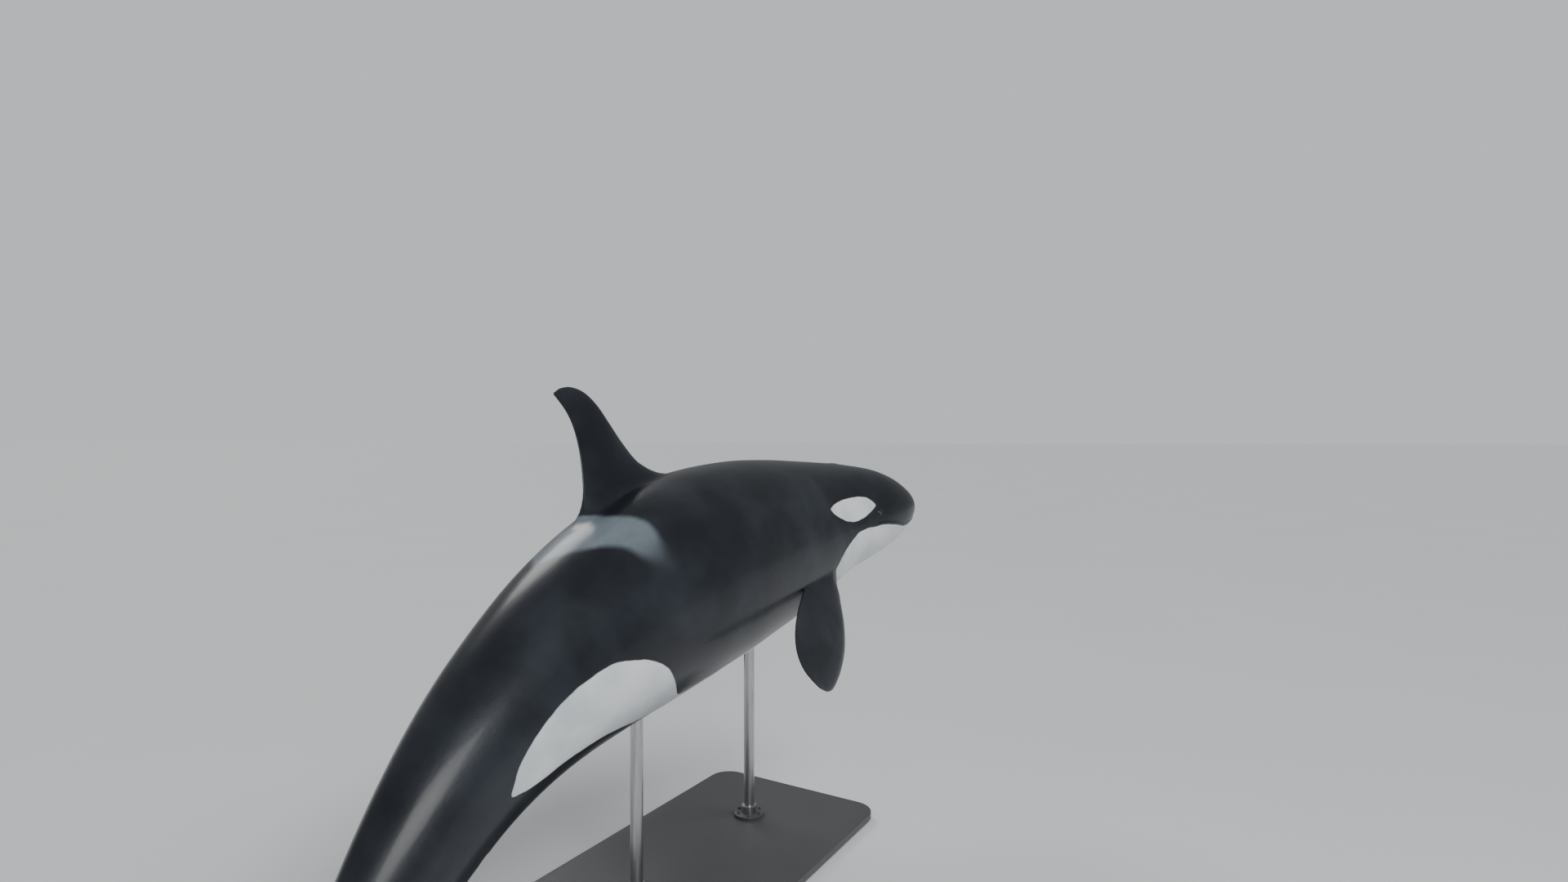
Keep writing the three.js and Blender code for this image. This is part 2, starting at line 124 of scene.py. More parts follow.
class SmoothCurve:
    """A monotone cubic through points, with no overshoot between them."""

    def __init__(self, xs: Sequence[float], ys: Sequence[float]) -> None:
        """Works out the tangents.

        Args:
            xs: the places of the points, rising.
            ys: their values.
        """
        self.xs, self.ys = list(xs), list(ys)
        self.steps = [b - a for a, b in zip(xs, xs[1:])]
        slopes = [(b - a) / step for a, b, step in zip(ys, ys[1:], self.steps)]
        self.tangents = [slopes[0]]
        for i in range(1, len(slopes)):
            self.tangents.append(self._inner(slopes[i - 1], slopes[i], self.steps[i - 1], self.steps[i]))
        self.tangents.append(slopes[-1])

    @staticmethod
    def _inner(before: float, after: float, step_before: float, step_after: float) -> float:
        """The tangent between two spans: the weighted harmonic mean of their slopes.

        Args:
            before: the slope of the first span.
            after: the slope of the second span.
            step_before: the length of the first span.
            step_after: the length of the second span.

        Returns:
            The tangent, 0 at a turning point.
        """
        if before * after <= 0:
            return 0.0
        first = 2 * step_after + step_before
        second = step_after + 2 * step_before
        return (first + second) / (first / before + second / after)

    def __call__(self, x: float) -> float:
        """The value at x, held at the ends.

        Args:
            x: the place to read.

        Returns:
            The value.
        """
        held = min(max(x, self.xs[0]), self.xs[-1])
        i = 0
        while i < len(self.steps) - 1 and self.xs[i + 1] <= held:
            i += 1
        u = (held - self.xs[i]) / self.steps[i]
        rise = self.ys[i + 1] - self.ys[i]
        start = self.tangents[i] * self.steps[i]
        end = self.tangents[i + 1] * self.steps[i]
        return self.ys[i] + u * (start + u * (3 * rise - 2 * start - end + u * (start + end - 2 * rise)))


def column(table: Table, k: int) -> SmoothCurve:
    """The smooth curve through one column of a table, over its first column."""
    return SmoothCurve([row[0] for row in table], [row[k] for row in table])


class EdgeCurve:
    """A flowing curve through 2-D points, read by its fraction from the first to the last."""

    def __init__(self, points: Outline) -> None:
        """Keeps the points, in metres."""
        self.points = [Vector(point) * MM for point in points]

    def __call__(self, share: float) -> Vector:
        """The point at a fraction of the curve.

        Args:
            share: the fraction, held at 0 and 1.

        Returns:
            The point.
        """
        last = len(self.points) - 1
        reach = min(max(share, 0.0), 1.0) * last
        i = min(int(reach), last - 1)
        t = reach - i
        p0, p1, p2, p3 = (self.points[min(max(k, 0), last)] for k in (i - 1, i, i + 1, i + 2))
        v0, v1 = (p2 - p0) / 2, (p3 - p1) / 2
        return (2 * p1 - 2 * p2 + v0 + v1) * t**3 + (3 * p2 - 3 * p1 - 2 * v0 - v1) * t**2 + v0 * t + p1


class BodyFrame(NamedTuple):
    """The axis of the body at one station."""

    at: Vector
    forward: Vector
    left: Vector
    up: Vector


@dataclass
class BodyPlan:
    """The bent body: its outline and the bend of its axis."""

    length: float = 6.0
    centre: tuple[float, float, float] = (0.06, 0.07, 1.96)
    centre_station: float = 0.4
    nose_up: float = 6.6
    left_side_down: float = 11.5
    axis_steps: int = 600
    snout_tip: float = 0.0012
    snout_cap: float = 0.004
    tail_cap: float = 0.996
    snout_roundness: float = 7.0  # the radius of the snout's dome, in caps
    normal_step: float = 0.0015
    search_rounds: int = 14
    search_error: float = 1e-5
    # Station, then back, belly, half width in body lengths and the section's power
    outline: Table = (
        (0.0, 0.0, 0.0, 0.0, 2.0), (0.004, 0.011, 0.0101, 0.0132, 2.0),
        (0.012, 0.0215, 0.0192, 0.0242, 2.0), (0.025, 0.0335, 0.0298, 0.035, 2.05),
        (0.045, 0.0476, 0.0408, 0.046, 2.1), (0.075, 0.0617, 0.0522, 0.0575, 2.15),
        (0.11, 0.0718, 0.06, 0.067, 2.2), (0.15, 0.0808, 0.0675, 0.076, 2.2),
        (0.2, 0.0897, 0.0822, 0.0845, 2.2), (0.26, 0.0985, 0.098, 0.092, 2.2),
        (0.33, 0.1045, 0.106, 0.096, 2.2), (0.4, 0.106, 0.11, 0.097, 2.2),
        (0.47, 0.1045, 0.108, 0.093, 2.15), (0.54, 0.096, 0.1005, 0.0845, 2.1),
        (0.61, 0.0845, 0.0865, 0.0735, 2.05), (0.69, 0.0685, 0.0685, 0.0575, 1.95),
        (0.77, 0.0535, 0.0535, 0.0415, 1.85), (0.84, 0.0425, 0.0415, 0.029, 1.8),
        (0.9, 0.033, 0.032, 0.0215, 1.8), (0.95, 0.0205, 0.0195, 0.018, 1.9),
        (0.985, 0.0095, 0.0095, 0.015, 2.0), (1.0, 0.003, 0.003, 0.005, 2.0),
    )
    # Station, pitch with the nose up, yaw with the nose to the left
    bend: Table = (
        (0.0, -5, -26), (0.1, -3, -25), (0.2, -3, -15), (0.32, -2, -2), (0.44, 4, 1),
        (0.56, 11, 3), (0.68, 20, 2), (0.8, 36, 1), (0.88, 42, 1), (0.94, 37, 1), (1.0, 25, 1),
    )

    def __post_init__(self) -> None:
        """Sums the axis up backwards from the snout and moves it to the centre."""
        self._reaches = [column(self.outline, k) for k in (1, 2, 3)]
        self._power = column(self.outline, 4)
        self._pitch, self._yaw = column(self.bend, 1), column(self.bend, 2)
        self._turn = (
            Matrix.Rotation(math.radians(-self.nose_up), 3, "Y")
            @ Matrix.Rotation(math.radians(-self.left_side_down), 3, "X")
        )
        points = [Vector()]
        for i in range(self.axis_steps):
            forward = self._axes((i + 0.5) / self.axis_steps)[0]
            points.append(points[-1] - forward * (self.length / self.axis_steps))
        shift = Vector(self.centre) - points[round(self.centre_station * self.axis_steps)]
        self._points = [point + shift for point in points]
        self._frames: dict[float, BodyFrame] = {}
        self._sections: dict[float, tuple[float, float, float, float]] = {}

    def _axes(self, station: float) -> tuple[Vector, Vector, Vector]:
        """The directions forward, left and up at a station.

        Args:
            station: the place along the body.

        Returns:
            The three directions.
        """
        pitch, yaw = math.radians(self._pitch(station)), math.radians(self._yaw(station))
        flat = Vector((math.cos(yaw), math.sin(yaw), 0))
        forward = flat * math.cos(pitch) + Vector((0, 0, math.sin(pitch)))
        left = Vector((-math.sin(yaw), math.cos(yaw), 0))
        return self._turn @ forward, self._turn @ left, self._turn @ forward.cross(left)

    def frame_at(self, station: float) -> BodyFrame:
        """The axis at a station, which runs on straight past both ends.

        Args:
            station: the place along the body.

        Returns:
            The axis there, worked out once for each station.
        """
        found = self._frames.get(station)
        if found is None:
            held = min(max(station, 0.0), 1.0)
            i = min(int(held * self.axis_steps), self.axis_steps - 1)
            forward, left, up = self._axes(held)
            at = self._points[i].lerp(self._points[i + 1], held * self.axis_steps - i)
            found = BodyFrame(at + forward * ((held - station) * self.length), forward, left, up)
            self._frames[station] = found
        return found

    def section(self, station: float) -> tuple[float, float, float, float]:
        """The size of the body's section; both ends are domes.

        Args:
            station: the place along the body.

        Returns:
            The back's height, the belly's depth, the half width and the section's power.
        """
        found = self._sections.get(station)
        if found is None:
            held = min(max(station, 0.0), 1.0)
            read, dome = held, 1.0
            if held < self.snout_cap:
                read = self.snout_cap
                share = max(held - self.snout_tip, 0.0) / (self.snout_cap - self.snout_tip)
                across = 2 * self.snout_roundness
                dome = math.sqrt(share * (across - share) / (across - 1))
            elif held > self.tail_cap:
                share = (held - self.tail_cap) / (1 - self.tail_cap)
                dome = math.sqrt(max(1 - share * share, 0.0))
            back, belly, width = (reach(read) * self.length * dome for reach in self._reaches)
            found = (back, belly, width, self._power(read))
            self._sections[station] = found
        return found

    def offsets(self, place: Place, outward: float = 0.0) -> tuple[float, float]:
        """How far to the left of the axis and above it a place on the skin lies.

        Args:
            place: a place on the skin.
            outward: how far outside the skin to read.

        Returns:
            The two distances.
        """
        back, belly, width, power = self.section(place.station)
        cosine, sine = math.cos(math.radians(place.angle)), math.sin(math.radians(place.angle))
        height = back if sine > 0 else belly
        left = -(width + outward) * math.copysign(abs(cosine) ** (2 / power), cosine)
        up = (height + outward) * math.copysign(abs(sine) ** (2 / power), sine)
        return left, up

    def skin_point(self, place: Place, outward: float = 0.0) -> Vector:
        """The point of the skin at a place.

        Args:
            place: a place on the skin.
            outward: how far outside the skin to go.

        Returns:
            The point.
        """
        here = self.frame_at(place.station)
        left, up = self.offsets(place, outward)
        return here.at + here.left * left + here.up * up

    def skin_normal(self, place: Place) -> Vector:
        """The direction straight out of the skin at a place.

        Args:
            place: a place on the skin.

        Returns:
            The direction, of length 1.
        """
        step, angle = self.normal_step, place.angle
        station = min(max(place.station, 2 * step), 1 - 2 * step)
        front, rear = (self.skin_point(Place(station + shift, angle)) for shift in (-step, step))
        next_one, last_one = (self.skin_point(Place(station, angle + turn)) for turn in (1, -1))
        return (front - rear).cross(next_one - last_one).normalized()

    def straightened(self, point: Vector, guess: float = 0.5) -> tuple[float, float, float]:
        """Where a point lies on the straightened body.

        Args:
            point: a point on or near the body.
            guess: a station to start the search at.

        Returns:
            The station abreast of the point, and how far to the left of the axis and above it it is.
        """
        station = guess
        for _ in range(self.search_rounds):
            here = self.frame_at(station)
            ahead = (point - here.at).dot(here.forward)
            station -= ahead / self.length
            if abs(ahead) < self.search_error:
                break
        here = self.frame_at(station)
        away = point - here.at
        return station, away.dot(here.left), away.dot(here.up)

    def place_of(self, point: Vector, guess: float = 0.5) -> tuple[Place, float]:
        """The place on the skin under a point, and how far outside the skin the point is.

        Args:
            point: a point on or near the body.
            guess: a station to start the search at.

        Returns:
            The place and the distance.
        """
        station, left, up = self.straightened(point, guess)
        back, belly, width, power = self.section(station)
        across = abs(left) / max(width, 1e-6)
        high = abs(up) / max(back if up > 0 else belly, 1e-6)
        reach = max((across**power + high**power) ** (1 / power), 1e-9)
        cosine = -math.copysign((across / reach) ** (power / 2), left)
        sine = math.copysign((high / reach) ** (power / 2), up)
        outward = math.hypot(left, up) * (1 - 1 / reach)
        return Place(station, math.degrees(math.atan2(sine, cosine))), outward


def folded(angle: float) -> float:
    """The same height on the right side, from -90 on the belly to 90 on the back."""
    turned = (angle + 90) % 360 - 90
    return turned if turned <= 90 else 180 - turned


class LocalFrame:
    """A flat frame that touches the skin at a place: forward, across and out of the skin."""

    def __init__(self, plan: BodyPlan, place: Place) -> None:
        """Finds the frame.

        Args:
            plan: the body.
            place: where the frame touches the skin.
        """
        self.plan, self.place = plan, place
        self.at = plan.skin_point(place)
        self.normal = plan.skin_normal(place)
        forward = plan.frame_at(place.station).forward
        self.forward = (forward - self.normal * forward.dot(self.normal)).normalized()
        self.across = self.normal.cross(self.forward)

    def flat(self, point: Vector) -> tuple[float, float]:
        """How far forward and across a point lies."""
        away = point - self.at
        return away.dot(self.forward), away.dot(self.across)

    def above(self, ahead: float, across: float) -> Place:
        """The place on the skin that lies this far forward and across."""
        point = self.at + self.forward * ahead + self.across * across
        return self.plan.place_of(point, self.place.station)[0]


class Relief:
    """A form that lifts or sinks the skin."""

    def rise(self, place: Place) -> float:
        """How far the skin is lifted at a place."""
        raise NotImplementedError

    def spacing(self, place: Place) -> float:
        """The size of face that the skin needs at a place: here the plain rings will do."""
        return COARSE


@dataclass
class Mouth(Relief):
    """The closed mouth: a groove from corner to corner round the snout, with a soft lip on each side."""

    plan: BodyPlan
    corner: float = 0.119
    line: Table = (
        (-0.02, -0.0135), (0.006, -0.015), (0.025, -0.0215), (0.05, -0.0248), (0.08, -0.0187),
        (0.105, -0.0143), (0.13, -0.0131),
    )
    lip_rise: float = 0.0042
    lip_offset: float = 0.0125
    lip_width: float = 0.0085
    groove_depth: float = 0.0095
    groove_width: float = 0.0034
    fade_ahead: float = 0.004
    fade_behind: float = 0.003
    snout_share: float = 0.3
    snout_end: float = 0.03
    reach: float = 0.03
    fine: float = 0.0024
    fine_reach: float = 0.007
    fine_behind: float = 0.006
    growth: float = 0.22

    def __post_init__(self) -> None:
        """Reads the line."""
        self._height = column(self.line, 1)

    def above(self, place: Place) -> float:
        """How far a place lies above the mouth line."""
        return self.plan.offsets(place)[1] - self._height(place.station) * self.plan.length

    def presence(self, station: float) -> float:
        """1 along the mouth, falling to 0 past its corner."""
        return smoothstep(self.corner + self.fade_behind, self.corner - self.fade_ahead, station)

    def rise(self, place: Place) -> float:
        """How far the lips lift the skin, or the groove sinks it.

        Args:
            place: a place on the skin.

        Returns:
            The rise, below 0 in the groove.
        """
        if place.station > self.corner + self.fade_behind:
            return 0.0
        above = self.above(place)
        if abs(above) > 2 * self.reach:
            return 0.0
        full = mix(self.snout_share, 1.0, smoothstep(0.0, self.snout_end, place.station))
        lip = self.lip_rise * full * bell(abs(above) - self.lip_offset, self.lip_width)
        groove = self.groove_depth * bell(above, self.groove_width)
        return (lip - groove) * self.presence(place.station)

    def spacing(self, place: Place) -> float:
        """The size of face that the skin needs here.

        Args:
            place: a place on the skin.

        Returns:
            The length of an edge.
        """
        away = abs(self.above(place))
        if place.station > self.corner + self.fine_behind or away >= self.reach:
            return COARSE
        return self.fine + max(away - self.fine_reach, 0.0) * self.growth

    def edge_angle(self, station: float) -> float:
        """The skin angle of the mouth line on the right side.

        Args:
            station: the place along the body.

        Returns:
            The angle, below 0.
        """
        _, belly, _, power = self.plan.section(station)
        share = min(-self._height(station) * self.plan.length / belly, 1.0)
        return -math.degrees(math.asin(share ** (power / 2)))


@dataclass
class Blowhole(Relief):
    """The nostril on the crown: a crescent slit, hollow side forward, on a low rounded rise."""

    plan: BodyPlan
    station: float = 0.128
    half_width: float = 0.048
    sagitta: float = 0.034
    slit_depth: float = 0.02
    slit_width: float = 0.0042
    rim_rise: float = 0.0035
    rim_offset: float = 0.012
    rim_width: float = 0.007
    dome_rise: float = 0.006
    dome_radius: float = 0.1
    near_station: float = 0.03
    near_angle: float = 40
    reach: float = 0.03
    fine: float = 0.0026
    fine_reach: float = 0.008
    growth: float = 0.25

    def __post_init__(self) -> None:
        """Places the crescent: an arc of a circle whose middle lies ahead of it."""
        self.local = LocalFrame(self.plan, Place(self.station, 90))
        self.radius = (self.half_width**2 + self.sagitta**2) / (2 * self.sagitta)
        self.middle = self.radius - self.sagitta / 2
        self.half_turn = math.asin(self.half_width / self.radius)

    def _near(self, place: Place) -> bool:
        """Whether a place lies on the crown."""
        along, around = abs(place.station - self.station), abs(place.angle - 90)
        return along <= self.near_station and around <= self.near_angle

    def _away(self, ahead: float, across: float) -> float:
        """The distance from the crescent.

        Args:
            ahead: how far forward of its middle a point lies.
            across: how far to the side of it.

        Returns:
            The distance.
        """
        turn = math.atan2(across, self.middle - ahead)
        if abs(turn) < self.half_turn:
            return abs(math.hypot(ahead - self.middle, across) - self.radius)
        tip_ahead = self.middle - self.radius * math.cos(self.half_turn)
        return math.hypot(ahead - tip_ahead, abs(across) - self.half_width)

    def rise(self, place: Place) -> float:
        """How far the rise and the rims lift the skin, or the slit sinks it.

        Args:
            place: a place on the skin.

        Returns:
            The rise, below 0 in the slit.
        """
        if not self._near(place):
            return 0.0
        ahead, across = self.local.flat(self.plan.skin_point(place))
        away = self._away(ahead, across)
        dome = self.dome_rise * bell(math.hypot(ahead, across), self.dome_radius)
        rim = self.rim_rise * bell(away - self.rim_offset, self.rim_width)
        return dome + rim - self.slit_depth * bell(away, self.slit_width)

    def spacing(self, place: Place) -> float:
        """The size of face that the skin needs here.

        Args:
            place: a place on the skin.

        Returns:
            The length of an edge.
        """
        if not self._near(place):
            return COARSE
        away = self._away(*self.local.flat(self.plan.skin_point(place)))
        return self.fine + max(away - self.fine_reach, 0.0) * self.growth if away < self.reach else COARSE


@dataclass
class Crease(Relief):
    """A soft fold of skin across a flank: a shallow trough along an arc between two angles."""

    plan: BodyPlan
    station: float
    lean: float
    from_angle: float
    to_angle: float
    depth: float
    width: float = 0.016
    reach: float = 0.04
    fade: float = 14
    roll_share: float = 0.4
    roll_offset: float = 1.9

    def rise(self, place: Place) -> float:
        """How far the fold sinks the skin, with a slight roll on each side of it.

        Args:
            place: a place on the skin.

        Returns:
            The rise, below 0 in the fold.
        """
        if abs(place.station - self.station) > self.reach:
            return 0.0
        angle = folded(place.angle)
        ends = smoothstep(self.from_angle, self.from_angle + self.fade, angle)
        ends *= smoothstep(self.to_angle, self.to_angle - self.fade, angle)
        if ends == 0.0:
            return 0.0
        middle = self.station + self.lean * (angle - self.from_angle) / (self.to_angle - self.from_angle)
        away = (place.station - middle) * self.plan.length
        roll = self.roll_share * bell(abs(away) - self.roll_offset * self.width, self.width)
        return self.depth * ends * (roll - bell(away, self.width))


class Lens(NamedTuple):
    """A field of the skin between two edges, which are angles over the station."""

    low: SmoothCurve
    high: SmoothCurve
    start: float
    end: float


@dataclass
class Markings:
    """The white and grey fields of the skin, as signed distances from their edges."""

    plan: BodyPlan
    mouth: Mouth
    # Station, then the lower and the upper edge as angles on the right side
    eye_patch: Table = (
        (0.119, 8.4, 9.8), (0.123, 7.1, 12.4), (0.129, 5.4, 15.4), (0.138, 3.1, 17.9),
        (0.152, 1, 18.8), (0.175, 0, 18.4), (0.195, 1.1, 17.4), (0.212, 4, 15.7),
        (0.226, 7.4, 13.7), (0.2345, 10.4, 12),
    )
    flank: Table = (
        (0.535, -68, -63.5), (0.55, -68, -59), (0.56, -68, -52), (0.569, -68, -41),
        (0.581, -66, -27), (0.594, -64, -18), (0.616, -59, -8), (0.637, -53, -1),
        (0.659, -48, 2), (0.684, -44.5, 3.6), (0.704, -41, 2.4), (0.722, -38.5, -0.8),
        (0.74, -33, -7), (0.751, -27, -15), (0.757, -22.5, -20.5),
    )
    # Station and the upper edge of the white underside
    underside: Table = (
        (0.112, -11.2), (0.13, -10.3), (0.15, -9.2), (0.17, -9.6), (0.186, -12.6), (0.206, -18),
        (0.222, -24), (0.236, -31.5), (0.25, -41), (0.27, -50), (0.3, -57), (0.36, -61),
        (0.53, -63), (0.58, -67), (0.62, -76), (0.647, -90),
    )
    # Angle on the right side, then the front and the rear edge of the saddle as stations
    saddle: Table = (
        (21, 0.5385, 0.5405), (24, 0.5375, 0.546), (29, 0.536, 0.552), (37, 0.5305, 0.557),
        (45, 0.5265, 0.5605), (54, 0.525, 0.569), (65, 0.53, 0.584), (76, 0.5365, 0.596),
        (90, 0.541, 0.61),
    )
    sample_step: float = 0.003
    saddle_marks: int = 60
    jaw_start: float = 0.0075
    jaw_overlap: float = 0.001
    hidden_margin: float = 0.35
    margin_height: float = 0.006  # the height at the mouth that stands for a degree of margin

    def __post_init__(self) -> None:
        """Reads the tables and samples the edges of the fields on the skin."""
        self._lenses = [
            Lens(column(table, 1), column(table, 2), table[0][0], table[-1][0])
            for table in (self.eye_patch, self.flank)
        ]
        self._underside = column(self.underside, 1)
        self._under_ends = self.underside[0][0], self.underside[-1][0]
        self._saddle = column(self.saddle, 1), column(self.saddle, 2)
        shown = [place for place in self._white_edges() if not self._is_white(place, self.hidden_margin)]
        self._white_tree = self._tree(shown)
        self._grey_tree = self._tree(self._saddle_edges())

    def _tree(self, places: Iterable[Place]) -> KDTree:
        """The skin points of these places on both sides, ready to be searched.

        Args:
            places: places on the right side.

        Returns:
            The tree of their points.
        """
        points = []
        for place in places:
            points.append(self.plan.skin_point(place))
            points.append(self.plan.skin_point(Place(place.station, 180 - place.angle)))
        tree = KDTree(len(points))
        for i, point in enumerate(points):
            tree.insert(point, i)
        tree.balance()
        return tree

    def _between(self, start: Place, end: Place) -> list[Place]:
        """Places close together from one place to another.

        Args:
            start: the first place.
            end: the last place.

        Returns:
            The places, both ends among them.
        """
        radius = self.plan.section(start.station)[2]
        along = (end.station - start.station) * self.plan.length
        around = math.radians(end.angle - start.angle) * radius
        count = max(int(math.hypot(along, around) / self.sample_step), 1)
        return [
            Place(mix(start.station, end.station, i / count), mix(start.angle, end.angle, i / count))
            for i in range(count + 1)
        ]

    def _along(self, edge: Callable[[float], float], start: float, end: float) -> list[Place]:
        """Places close together on an edge that is an angle over the station.

        Args:
            edge: the angle at a station.
            start: the first station.
            end: the last station.

        Returns:
            The places.
        """
        count = int((end - start) * self.plan.length / (2 * self.sample_step))
        stations = [mix(start, end, i / count) for i in range(count + 1)]
        return self._joined([Place(station, edge(station)) for station in stations])

    def _joined(self, marks: Sequence[Place]) -> list[Place]:
        """Places close together along a chain of places."""
        return [place for a, b in zip(marks, marks[1:]) for place in self._between(a, b)]

    def _white_edges(self) -> list[Place]:
        """All edges of the white fields, also where one field covers another's edge.

        Returns:
            Places on the edges.
        """
        places = []
        for low, high, start, end in self._lenses:
            places += self._along(low, start, end) + self._along(high, start, end)
            places += self._between(Place(start, low(start)), Place(start, high(start)))
            places += self._between(Place(end, low(end)), Place(end, high(end)))
        places += self._along(self._underside, *self._under_ends)
        return places + self._along(self.mouth.edge_angle, self.jaw_start, self.mouth.corner)

    def _saddle_edges(self) -> list[Place]:
        """The edges of the saddle patch.

        Returns:
            Places on its front and its rear edge.
        """
        places = []
        first, last = self.saddle[0][0], self.saddle[-1][0]
        angles = [mix(first, last, i / self.saddle_marks) for i in range(self.saddle_marks + 1)]
        for edge in self._saddle:
            places += self._joined([Place(edge(angle), angle) for angle in angles])
        return places

    def _is_white(self, place: Place, margin: float = 0.0) -> bool:
        """Whether a place lies in the eye patch, the flank lobe, the underside or the lower jaw.

        Args:
            place: the place.
            margin: how many degrees inside the field's edge it has to lie.

        Returns:
            True in any of the white fields.
        """
        station, angle = place.station, folded(place.angle)
        for low, high, start, end in self._lenses:
            if start < station < end and low(station) + margin < angle < high(station) - margin:
                return True
        first, last = self._under_ends
        if first < station < last and angle < self._underside(station) - margin:
            return True
        if station > self.mouth.corner + self.jaw_overlap:
            return False
        return self.mouth.above(place) < -margin * self.margin_height

    def white(self, place: Place, point: Vector) -> float:
        """The distance from the edge of the white, above 0 inside it."""
        distance = self._white_tree.find(point)[2]
        return distance if self._is_white(place) else -distance

    def grey(self, place: Place, point: Vector) -> float:
        """The distance from the edge of the saddle patch, above 0 inside it.

        Args:
            place: a place on the skin.
            point: the plain skin's point there.

        Returns:
            The distance.
        """
        distance = self._grey_tree.find(point)[2]
        angle = folded(place.angle)
        front, rear = self._saddle
        inside = angle > self.saddle[0][0] and front(angle) < place.station < rear(angle)
        return distance if inside else -distance


@dataclass
class Blade:
    """A fin or a fluke: a lens of skin between a leading and a trailing edge."""

    root: Vector
    forward: Vector
    out: Vector
    lead: Outline
    trail: Outline
    tip_thickness: float
    root_thickness: float
    taper: float
    lift: float
    guess: float
    fillet: float
    front_fillet: float
    rear_fillet: float
    rings: int
    pale_below: bool = False
    halvings: int = 13
    last_share: float = 0.7

    def __post_init__(self) -> None:
        """Reads the edges."""
        self.normal = self.out.cross(self.forward).normalized()
        self._lead, self._trail = EdgeCurve(self.lead), EdgeCurve(self.trail)

    def point(self, share: float, turn: float) -> Vector:
        """A point of the blade's surface.

        Args:
            share: the fraction of the way from the root to the tip.
            turn: the angle round the section in radians, 0 at the leading edge and pi at the other.

        Returns:
            The point.
        """
        thickness = self.tip_thickness + self.root_thickness * max(1 - share, 0.0) ** self.taper
        flat = self._trail(share).lerp(self._lead(share), (1 + math.cos(turn)) / 2)
        bulge = thickness / 2 * math.sin(turn) * (0.8 + 0.3 * math.cos(turn))
        return (
            self.root
            + self.forward * flat.x
            + self.out * flat.y
            + self.normal * (bulge + self.lift * share * share)
        )

    def outward(self, share: float, turn: float) -> Vector:
        """The direction away from the blade's middle at a point, square to its span.

        Args:
            share: the fraction of the way from the root to the tip.
            turn: the angle round the section in radians.

        Returns:
            The direction, of length 1.
        """
        small = 0.05
        tangent = self.point(share, turn + small) - self.point(share, turn - small)
        return tangent.cross(self.out).normalized()

    def root_reach(self, turn: float) -> float:
        """How far the rounding of the root spreads over the trunk at a turn."""
        end = self.front_fillet if math.cos(turn) > 0 else self.rear_fillet
        return mix(self.fillet, end, abs(math.cos(turn)))

    def share_above(self, plan: BodyPlan, turn: float, height: float) -> float:
        """The fraction along the blade at which it stands this far out of the trunk's skin.

        Args:
            plan: the body that the blade grows from.
            turn: the angle round the section in radians.
            height: the distance from the skin.

        Returns:
            The fraction of the way from the root to the tip.
        """
        low, high = 0.0, self.last_share
        for _ in range(self.halvings):
            middle = (low + high) / 2
            outside = plan.place_of(self.point(middle, turn), self.guess)[1] > height
            low, high = (low, middle) if outside else (middle, high)
        return (low + high) / 2


class SkinMesh:
    """The closed skin while it is made: a mesh whose points know their place on the body."""

    def __init__(self, plan: BodyPlan) -> None:
        """Starts an empty mesh with its layers.

        Args:
            plan: the body.
        """
        self.plan = plan
        self.bm: BMesh = bmesh.new()
        floats = self.bm.verts.layers.float
        self.station = floats.new("station")
        self.cosine = floats.new("cosine")
        self.sine = floats.new("sine")
        self.on_fin = floats.new("on_fin")
        self.white = floats.new("white_edge")
        self.grey = floats.new("grey_edge")
        self.rest = self.bm.verts.layers.float_vector.new("rest")

    def put(self, vert: BMVert, place: Place) -> None:
        """Notes the place of a point on the skin.

        Args:
            vert: the point.
            place: its place.
        """
        vert[self.station] = place.station
        vert[self.cosine] = math.cos(math.radians(place.angle))
        vert[self.sine] = math.sin(math.radians(place.angle))

    def place(self, vert: BMVert) -> Place:
        """The noted place of a point."""
        angle = math.degrees(math.atan2(vert[self.sine], vert[self.cosine]))
        return Place(vert[self.station], angle)

    def rim(self) -> list[BMVert]:
        """The points round the only hole of the mesh, in order.

        Returns:
            The points, each once.
        """
        edges = {edge for edge in self.bm.edges if edge.is_boundary}
        edge = min(edges, key=lambda e: e.verts[0].index)
        loop = [edge.verts[0]]
        while edge is not None:
            edges.discard(edge)
            loop.append(edge.other_vert(loop[-1]))
            edge = next((e for e in loop[-1].link_edges if e in edges), None)
        return loop[:-1]

    def extend(self, loop: list[BMVert], points: Sequence[Vector]) -> list[BMVert]:
        """Grows the rim of the hole by one ring of faces.

        Args:
            loop: the points of the rim, in order.
            points: where the new rim's points go, one for each of loop.

        Returns:
            The new rim, in the same order.
        """
        pairs = zip(loop, loop[1:] + loop[:1])
        edges = [self.bm.edges.get(pair) for pair in pairs]
        made = bmesh.ops.extrude_edge_only(self.bm, edges=edges)["geom"]
        fresh = {item for item in made if isinstance(item, BMVert)}
        ring = [next(e.other_vert(v) for e in v.link_edges if e.other_vert(v) in fresh) for v in loop]
        for vert, point in zip(ring, points):
            vert.co = point
        return ring

    def close(self, loop: list[BMVert]) -> None:
        """Fills the hole inside a small rim with a point in its middle.

        Args:
            loop: the points of the rim, in order.
        """
        middle = middle_of(loop)
        ring = self.extend(loop, [middle] * len(loop))
        bmesh.ops.pointmerge(self.bm, verts=ring, merge_co=middle)


